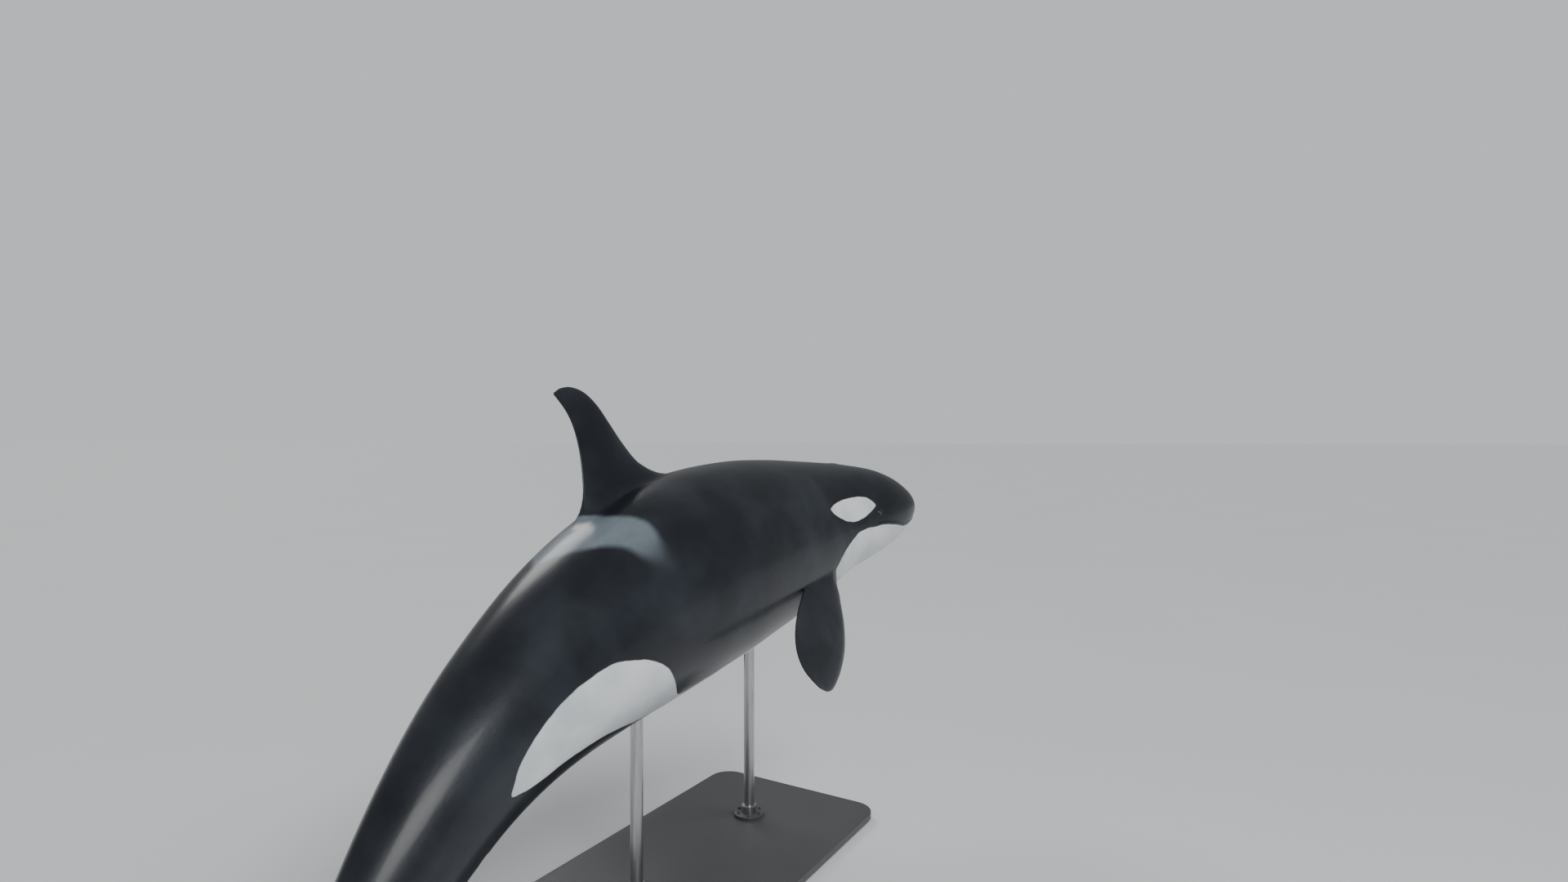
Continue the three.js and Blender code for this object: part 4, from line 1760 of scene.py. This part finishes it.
@dataclass(frozen=True)
class WetSkin:
    """Wet orca skin: near black, with cool white fields, a grey saddle and faint scratches."""

    effects: SharedEffects
    black: Colour = (0.0085, 0.0105, 0.0145, 1)
    slate: Colour = (0.021, 0.026, 0.034, 1)
    scratch: Colour = (0.075, 0.085, 0.1, 1)
    white: Colour = (0.74, 0.775, 0.79, 1)
    shaded_white: Colour = (0.56, 0.60, 0.62, 1)
    saddle: Colour = (0.17, 0.205, 0.235, 1)
    dark_saddle: Colour = (0.05, 0.063, 0.077, 1)

    def material(self) -> Material:
        """Builds the material.

        Returns:
            The material.
        """
        made, wires, shader = start_material("wet_skin")
        rest = wires.attribute("rest").outputs[1]
        white_edge, grey_edge = (wires.attribute(name).outputs[2] for name in ("white_edge", "grey_edge"))
        mottle = wires.effect(self.effects.mottle, {"Vector": rest, "Cloud scale": 2.6, "Grain scale": 150})
        cloud, grain = mottle.outputs
        in_white = wires.effect(self.effects.ragged_edge, {
            "Vector": rest, "Distance": white_edge, "Softness": 0.0035, "Unevenness": 0.011, "Scale": 13,
        }).outputs[0]
        scratches = wires.effect(
            self.effects.fine_lines, {"Vector": rest, "Scale": 26, "Share": 0.14}
        ).outputs[0]
        dark = wires.blend(wires.soften(cloud, 0.38, 0.72), self.black, self.slate)
        scratched = wires.blend(wires.math("MULTIPLY", scratches, 0.32), dark, self.scratch)
        saddle = self._saddle(wires, rest, grey_edge, scratched)
        pale = wires.blend(wires.soften(cloud, 0.35, 0.7), self.white, self.shaded_white)
        flecked = wires.blend(wires.math("MULTIPLY", scratches, 0.4), pale, self.shaded_white)
        rough = wires.math("MULTIPLY_ADD", cloud, 0.16, 0.2)
        ripple = wires.noise(wires.stretched(rest, (0.35, 1, 1)), 34, 2.0)
        height = wires.math("MULTIPLY_ADD", grain, 0.35, ripple)
        height = wires.math("MULTIPLY_ADD", scratches, -0.12, height)
        wires.feed(shader, {
            "Base Color": wires.blend(in_white, saddle, flecked),
            "Roughness": wires.math("MULTIPLY_ADD", grain, 0.06, rough),
            "Normal": wires.bump(0.16, 0.004, height),
            "Coat Weight": 0.15, "Coat Roughness": 0.12, "Specular IOR Level": 0.38,
        })
        return made

    def _saddle(self, wires: Wiring, rest: NodeSocket, edge: NodeSocket, under: NodeSocket) -> NodeSocket:
        """The grey saddle over the black: a soft edge and streaks that trail off to the rear.

        Args:
            wires: the material's wiring.
            rest: the place on the straightened body.
            edge: the distance from the saddle's edge.
            under: the colour of the skin round it.

        Returns:
            The colour with the saddle in it.
        """
        height = wires.node("SeparateXYZ", {0: rest}).outputs[2]
        upper = wires.soften(height, 0.2, 0.46)
        inside = wires.effect(self.effects.ragged_edge, {
            "Vector": rest, "Distance": edge, "Unevenness": 0.045, "Scale": 7,
            "Softness": wires.math("MULTIPLY_ADD", upper, -0.032, 0.06),
        }).outputs[0]
        streak = wires.soften(wires.noise(wires.stretched(rest, (0.35, 1, 1)), 11, 5.0), 0.15, 0.75)
        bright = wires.math("MULTIPLY", upper, wires.math("MULTIPLY_ADD", streak, 0.5, 0.5))
        tone = wires.blend(bright, self.dark_saddle, self.saddle)
        share = wires.math("MULTIPLY", inside, wires.math("MULTIPLY_ADD", upper, 0.6, 0.4))
        return wires.blend(share, under, tone)


@dataclass(frozen=True)
class EyeGloss:
    """A wet dark eye: a brown iris with fine spokes round a wide pupil."""

    effects: SharedEffects
    pupil: Colour = (0.002, 0.002, 0.003, 1)
    iris: Colour = (0.022, 0.011, 0.006, 1)
    iris_light: Colour = (0.07, 0.036, 0.018, 1)
    rim: Colour = (0.010, 0.006, 0.005, 1)

    def material(self) -> Material:
        """Builds the material.

        Returns:
            The material.
        """
        made, wires, shader = start_material("eye_gloss")
        gaze = wires.attribute("gaze").outputs[1]
        ahead, across, _ = wires.node("SeparateXYZ", {0: gaze}).outputs
        away = wires.length(gaze)
        oval = wires.node("CombineXYZ", {0: wires.math("MULTIPLY", ahead, 0.72), 1: across}).outputs[0]
        turn = wires.math("ARCTAN2", across, ahead)
        spoke_place = wires.node("CombineXYZ", {0: wires.math("MULTIPLY", turn, 9.0), 1: away}).outputs[0]
        spokes = wires.noise(spoke_place, 2.2, 3.0)
        mottle = wires.effect(self.effects.mottle, {"Vector": gaze, "Cloud scale": 4.0, "Grain scale": 30.0})
        cloud, grain = mottle.outputs
        tone = wires.math("MULTIPLY", spokes, wires.soften(cloud, 0.2, 0.8))
        iris = wires.blend(wires.soften(tone, 0.1, 0.5), self.iris, self.iris_light)
        ringed = wires.blend(wires.soften(away, 0.40, 0.56), iris, self.rim)
        wires.feed(shader, {
            "Base Color": wires.blend(wires.soften(wires.length(oval), 0.185, 0.15), ringed, self.pupil),
            "Roughness": wires.math("MULTIPLY_ADD", grain, 0.03, 0.03),
            "Coat Weight": 1.0, "Coat Roughness": 0.02,
        })
        return made


@dataclass(frozen=True)
class SatinPaint:
    """Satin stand paint: a fine orange-peel texture, faint dust and small scuffs."""

    effects: SharedEffects
    paint: Colour = (0.055, 0.058, 0.062, 1)
    dusty: Colour = (0.095, 0.098, 0.10, 1)

    def material(self) -> Material:
        """Builds the material.

        Returns:
            The material.
        """
        made, wires, shader = start_material("satin_paint")
        place = wires.node("TexCoord").outputs["Object"]
        mottle = wires.effect(self.effects.mottle, {"Vector": place, "Cloud scale": 3.5, "Grain scale": 420})
        cloud, grain = mottle.outputs
        scuffs = wires.effect(
            self.effects.fine_lines, {"Vector": place, "Scale": 60, "Share": 0.08}
        ).outputs[0]
        tone = wires.blend(wires.math("MULTIPLY", cloud, 0.5), self.paint, self.dusty)
        wires.feed(shader, {
            "Base Color": wires.blend(wires.math("MULTIPLY", scuffs, 0.35), tone, self.dusty),
            "Roughness": wires.math("MULTIPLY_ADD", cloud, 0.12, 0.36),
            "Normal": wires.bump(0.12, 0.0006, grain),
        })
        return made


@dataclass(frozen=True)
class BrushedSteel:
    """Steel brushed round and along, with a faint variation of gloss."""

    effects: SharedEffects
    light: Colour = (0.60, 0.61, 0.62, 1)
    dark: Colour = (0.42, 0.43, 0.44, 1)

    def material(self) -> Material:
        """Builds the material.

        Returns:
            The material.
        """
        made, wires, shader = start_material("brushed_steel")
        place = wires.node("TexCoord").outputs["Object"]
        brushed = wires.noise(wires.stretched(place, (1, 1, 0.02)), 260, 3.0)
        mottle = wires.effect(self.effects.mottle, {"Vector": place, "Cloud scale": 6.0, "Grain scale": 300})
        rough = wires.math("MULTIPLY_ADD", brushed, 0.16, 0.18)
        wires.feed(shader, {
            "Base Color": wires.blend(wires.soften(brushed, 0.3, 0.7), self.dark, self.light),
            "Metallic": 1.0,
            "Roughness": wires.math("MULTIPLY_ADD", mottle.outputs[0], 0.1, rough),
            "Normal": wires.bump(0.1, 0.0004, brushed),
        })
        return made


@dataclass(frozen=True)
class StudioFloor:
    """A pale matt floor."""

    effects: SharedEffects
    light: Colour = (0.74, 0.75, 0.76, 1)
    dark: Colour = (0.69, 0.70, 0.71, 1)

    def material(self) -> Material:
        """Builds the material.

        Returns:
            The material.
        """
        made, wires, shader = start_material("studio_floor")
        place = wires.node("TexCoord").outputs["Object"]
        mottle = wires.effect(self.effects.mottle, {"Vector": place, "Cloud scale": 0.35, "Grain scale": 40})
        colour = wires.blend(mottle.outputs[0], self.light, self.dark)
        wires.feed(shader, {"Base Color": colour, "Roughness": 0.75})
        return made


@dataclass
class Eyeball:
    """One eye: a ball with a slightly raised cornea, deep in its lids."""

    skin: OrcaSkin
    side: Side
    sides: int = 64
    rows: int = 48
    cornea_rise: float = 0.0012
    cornea_edge: tuple[float, float] = (0.6, 0.2)
    back_gaze: float = 4.0  # sets the rear half so far out that it gets the colour of the rim

    def build(self, material: Material) -> Object:
        """Makes the eye.

        Args:
            material: its finish.

        Returns:
            The finished piece.
        """
        place = Place(self.skin.eye_place.station, self.side.angle(self.skin.eye_place.angle))
        local = LocalFrame(self.skin.plan, place)
        radius = self.skin.eye_radius
        bm = bmesh.new()
        gaze = bm.verts.layers.float_vector.new("gaze")
        bmesh.ops.create_uvsphere(bm, u_segments=self.sides, v_segments=self.rows, radius=radius)
        for vert in bm.verts:
            away = math.hypot(vert.co.x, vert.co.y) / radius
            in_front = vert.co.z > 0
            vert[gaze] = Vector((vert.co.x, vert.co.y, 0)) / radius * (1.0 if in_front else self.back_gaze)
            if in_front:
                vert.co.z += self.cornea_rise * smoothstep(*self.cornea_edge, away)
        turn = Matrix((local.forward, local.across, local.normal)).transposed().to_4x4()
        middle = local.at - local.normal * self.skin.eye_sink
        bmesh.ops.transform(bm, matrix=Matrix.Translation(middle) @ turn, verts=bm.verts)
        bmesh.ops.recalc_face_normals(bm, faces=bm.faces)
        side = self.side.name.lower()
        return dress(finished(f"eyeball_{side}", bm, material), [f"eye_{side}"])


@dataclass
class Stand:
    """The display stand: a base on a recessed plinth, bolted feet, and rods with collars."""

    plan: BodyPlan
    length: float = 2.5
    width: float = 1.4
    thickness: float = 0.06
    corner: float = 0.16
    top_edge: float = 0.006
    recess: float = 0.025
    recess_height: float = 0.012
    recess_overlap: float = 0.004
    recess_edge: float = 0.001
    foot_radius: float = 0.11
    foot_height: float = 0.022
    foot_edge: float = 0.004
    foot_gap: float = 0.0003
    rods: tuple[tuple[str, float], ...] = (("front", 0.3), ("rear", 0.51))
    rod_radius: float = 0.038
    rod_gap: float = 0.0006
    collar_radius: float = 0.055
    collar_height: float = 0.05
    collar_edge: float = 0.003
    bolts: int = 6
    bolt_circle: float = 0.085
    bolt_radius: float = 0.0085
    bolt_height: float = 0.0095
    bolt_edge: float = 0.0012
    washer_margin: float = 0.003
    washer_height: float = 0.0018
    socket_radius: float = 0.0042
    socket_depth: float = 0.005
    into_body: float = 0.01
    sharp_angle: float = 35

    def _slab(self, bm: BMesh, low: float, high: float, inward: float, edge: float) -> None:
        """Adds a slab with round corners and softened rims.

        Args:
            bm: the mesh to add to.
            low: the height of its underside.
            high: the height of its top.
            inward: how far its outline lies inside the base's.
            edge: the size of the softened rim.
        """
        corners = bmesh.ops.create_cube(bm, size=1)["verts"]
        size = Vector((self.length - 2 * inward, self.width - 2 * inward, high - low))
        bmesh.ops.scale(bm, vec=size, verts=corners)
        bmesh.ops.translate(bm, vec=(0, 0, (low + high) / 2), verts=corners)
        edges = {e for vert in corners for e in vert.link_edges}
        upright = [e for e in edges if abs(e.verts[0].co.z - e.verts[1].co.z) > 1e-6]
        rounding = {"affect": "EDGES", "profile": 0.5, "material": -1}
        rounded = bmesh.ops.bevel(bm, geom=upright, offset=self.corner - inward, segments=24, **rounding)
        faces = {f for vert in rounded["verts"] for f in vert.link_faces}
        rims = {e for f in faces if abs(f.normal.z) > 0.9 for e in f.edges}
        bmesh.ops.bevel(bm, geom=list(rims), offset=edge, segments=4, **rounding)

    def _piece(self, name: str, bm: BMesh, material: Material, node: str) -> Object:
        """Turns a mesh into a piece of the stand, with its sharp edges kept in the shading.

        Args:
            name: the piece's name.
            bm: the mesh, which is freed.
            material: its finish.
            node: the solid that it replaces.

        Returns:
            The finished piece.
        """
        bmesh.ops.recalc_face_normals(bm, faces=bm.faces)
        piece = finished(name, bm, material)
        piece.data.set_sharp_from_angle(angle=math.radians(self.sharp_angle))
        return dress(piece, [node])

    def base(self, material: Material) -> Object:
        """Makes the base plate on its plinth.

        Args:
            material: its finish.

        Returns:
            The finished piece.
        """
        bm = bmesh.new()
        self._slab(bm, self.recess_height, self.thickness, 0.0, self.top_edge)
        self._slab(bm, 0.0, self.recess_height + self.recess_overlap, self.recess, self.recess_edge)
        return self._piece("stand_base_plate", bm, material, "stand_base")

    @staticmethod
    def _softened(radius: float, height: float, edge: float) -> Outline:
        """The turns of an outline that round off an upper rim."""
        bend = 0.3 * edge
        return (radius, height - edge), (radius - bend, height - bend), (radius - edge, height)

    @staticmethod
    def _turned(bm: BMesh, x: float, y: float, profile: Outline, sides: int) -> None:
        """Adds a round body.

        Args:
            bm: the mesh to add to.
            x: the place of its axis.
            y: the place of its axis.
            profile: radius and height of each turn of its outline, from the axis to the axis.
            sides: how many sides it has.
        """
        old = set(bm.verts)
        line = [bm.verts.new((radius, 0, height)) for radius, height in profile]
        edges = [bm.edges.new(pair) for pair in zip(line, line[1:])]
        bmesh.ops.spin(
            bm, geom=line + edges, cent=(0, 0, 0), axis=(0, 0, 1), angle=CIRCLE, steps=sides, use_merge=True
        )
        bmesh.ops.remove_doubles(bm, verts=[vert for vert in bm.verts if vert not in old], dist=1e-6)
        bmesh.ops.translate(bm, vec=(x, y, 0), verts=[vert for vert in bm.verts if vert not in old])

    def foot(self, name: str, station: float, material: Material) -> Object:
        """Makes a foot plate with a ring of bolts.

        Args:
            name: which foot it is.
            station: the place on the body that it stands under.
            material: its finish.

        Returns:
            The finished piece.
        """
        at = self.plan.frame_at(station).at
        low = self.thickness + self.foot_gap
        high = low + self.foot_height
        rim = self._softened(self.foot_radius, high, self.foot_edge)
        bm = bmesh.new()
        self._turned(bm, at.x, at.y, ((0, low), (self.foot_radius, low), *rim, (0, high)), 96)
        for k in range(self.bolts):
            turn = CIRCLE * (k + 0.5) / self.bolts
            x = at.x + self.bolt_circle * math.cos(turn)
            y = at.y + self.bolt_circle * math.sin(turn)
            self._bolt(bm, x, y, high)
        return self._piece(f"foot_plate_{name}", bm, material, f"stand_foot_{name}")

    def _bolt(self, bm: BMesh, x: float, y: float, low: float) -> None:
        """Adds a bolt: a washer and a round head with a socket.

        Args:
            bm: the mesh to add to.
            x: the place of its axis.
            y: the place of its axis.
            low: the height that it stands on.
        """
        head, socket = self.bolt_radius, self.socket_radius
        washer, flat = head + self.washer_margin, low + self.washer_height
        high = low + self.bolt_height
        bottom = high - self.socket_depth
        rim = self._softened(head, high, self.bolt_edge)
        self._turned(bm, x, y, (
            (0, low), (washer, low), (washer, flat), (head, flat), *rim, (socket, high), (socket, bottom),
            (0, bottom),
        ), 30)

    def rod(self, name: str, station: float, material: Material) -> Object:
        """Makes a rod with a collar at its foot, up into the belly.

        Args:
            name: which rod it is.
            station: the place on the body that it holds.
            material: its finish.

        Returns:
            The finished piece.
        """
        at = self.plan.frame_at(station).at
        low = self.thickness + self.foot_height + self.rod_gap
        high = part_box(f"stand_rod_{name}")[1].z + self.into_body
        collar, edge, shoulder = self.collar_radius, self.collar_edge, low + self.collar_height
        bm = bmesh.new()
        self._turned(bm, at.x, at.y, (
            (0, low), (collar, low), (collar, shoulder - edge), (collar - edge, shoulder),
            (self.rod_radius, shoulder), (self.rod_radius, high), (0, high),
        ), 64)
        return self._piece(f"rod_{name}", bm, material, f"stand_rod_{name}")

    def build(self, paint: Material, steel: Material) -> None:
        """Makes the whole stand.

        Args:
            paint: the finish of the base and the feet.
            steel: the finish of the rods.
        """
        self.base(paint)
        for name, station in self.rods:
            self.foot(name, station, paint)
            self.rod(name, station, steel)


@dataclass
class Studio:
    """The floor, the lights and the camera."""

    camera_at: tuple[float, float, float] = (-4.32438, -3.20085, 2.77614)
    heading: float = 30.73645
    lens: float = 18.75
    floor_size: float = 1600.0
    backdrop: Colour = (0.78, 0.80, 0.82, 1)
    backdrop_strength: float = 0.8
    room_strength: float = 0.33
    key_from: tuple[float, float, float] = (1.5, -5.0, 7.0)
    key_strength: float = 1.8
    key_spread: float = 36
    back_from: tuple[float, float, float] = (3.0, 7.0, 6.5)
    back_strength: float = 0.7
    back_spread: float = 26
    side_at: tuple[float, float, float] = (-6.0, -7.5, 6.0)
    side_aim: tuple[float, float, float] = (0, 0, 1.8)
    side_size: float = 3.5
    side_power: float = 300

    def floor(self, material: Material) -> None:
        """Lays the floor.

        Args:
            material: its finish.
        """
        bm = bmesh.new()
        bmesh.ops.create_grid(bm, x_segments=2, y_segments=2, size=self.floor_size / 2)
        finished("floor", bm, material)

    def sky_light(
        self, name: str, towards: Sequence[float], strength: float, spread: float, seen: bool
    ) -> None:
        """Hangs a wide far light, which falls alike on all of the floor.

        Args:
            name: its name.
            towards: the direction that it comes from.
            strength: its power for each square metre.
            spread: how wide it looks, in degrees.
            seen: whether glossy skin mirrors it.
        """
        lamp = bpy.data.lights.new(name, "SUN")
        lamp.energy, lamp.angle = strength, math.radians(spread)
        made = placed(name, lamp)
        made.visible_glossy = seen
        made.rotation_euler = (-Vector(towards)).to_track_quat("-Z", "Y").to_euler()

    def side_light(self) -> None:
        """Hangs a square soft light beside the camera."""
        lamp = bpy.data.lights.new("side", "AREA")
        lamp.size, lamp.energy = self.side_size, self.side_power
        made = placed("side", lamp)
        made.location = self.side_at
        aim = Vector(self.side_aim) - made.location
        made.rotation_euler = aim.to_track_quat("-Z", "Y").to_euler()

    def camera(self) -> None:
        """Sets up the camera at the photograph's place, looking level."""
        data = bpy.data.cameras.new("camera")
        data.sensor_width, data.lens = 36.0, self.lens
        made = placed("camera", data)
        made.location = self.camera_at
        made.rotation_euler = (math.radians(90), 0, math.radians(self.heading - 90))
        bpy.context.scene.camera = made

    def build(self, floor_material: Material) -> None:
        """Sets up the studio.

        Args:
            floor_material: the floor's finish.
        """
        self.floor(floor_material)
        world = bpy.data.worlds.new("studio")
        world.use_nodes = True
        wires = Wiring(world.node_tree)
        seen = wires.node("LightPath").outputs["Is Camera Ray"]
        extra = self.backdrop_strength - self.room_strength
        strength = wires.math("MULTIPLY_ADD", seen, extra, self.room_strength)
        wires.feed(world.node_tree.nodes["Background"], {0: self.backdrop, 1: strength})
        bpy.context.scene.world = world
        self.sky_light("key", self.key_from, self.key_strength, self.key_spread, seen=False)
        self.sky_light("back", self.back_from, self.back_strength, self.back_spread, seen=True)
        self.side_light()
        self.camera()
        LOG.info("studio: floor, three lights and the camera")


def main() -> None:
    """Builds the orca, its stand and the studio."""
    logging.basicConfig(level=logging.INFO, format="%(name)s %(message)s")
    effects = SharedEffects()
    plan = BodyPlan()
    skin = OrcaSkin(plan, Mouth(plan), Blowhole(plan))
    skin.build(WetSkin(effects).material())
    eye_finish = EyeGloss(effects).material()
    for side in Side:
        Eyeball(skin, side).build(eye_finish)
    Stand(plan).build(SatinPaint(effects).material(), BrushedSteel(effects).material())
    Studio().build(StudioFloor(effects).material())


if __name__ == "__main__":
    main()
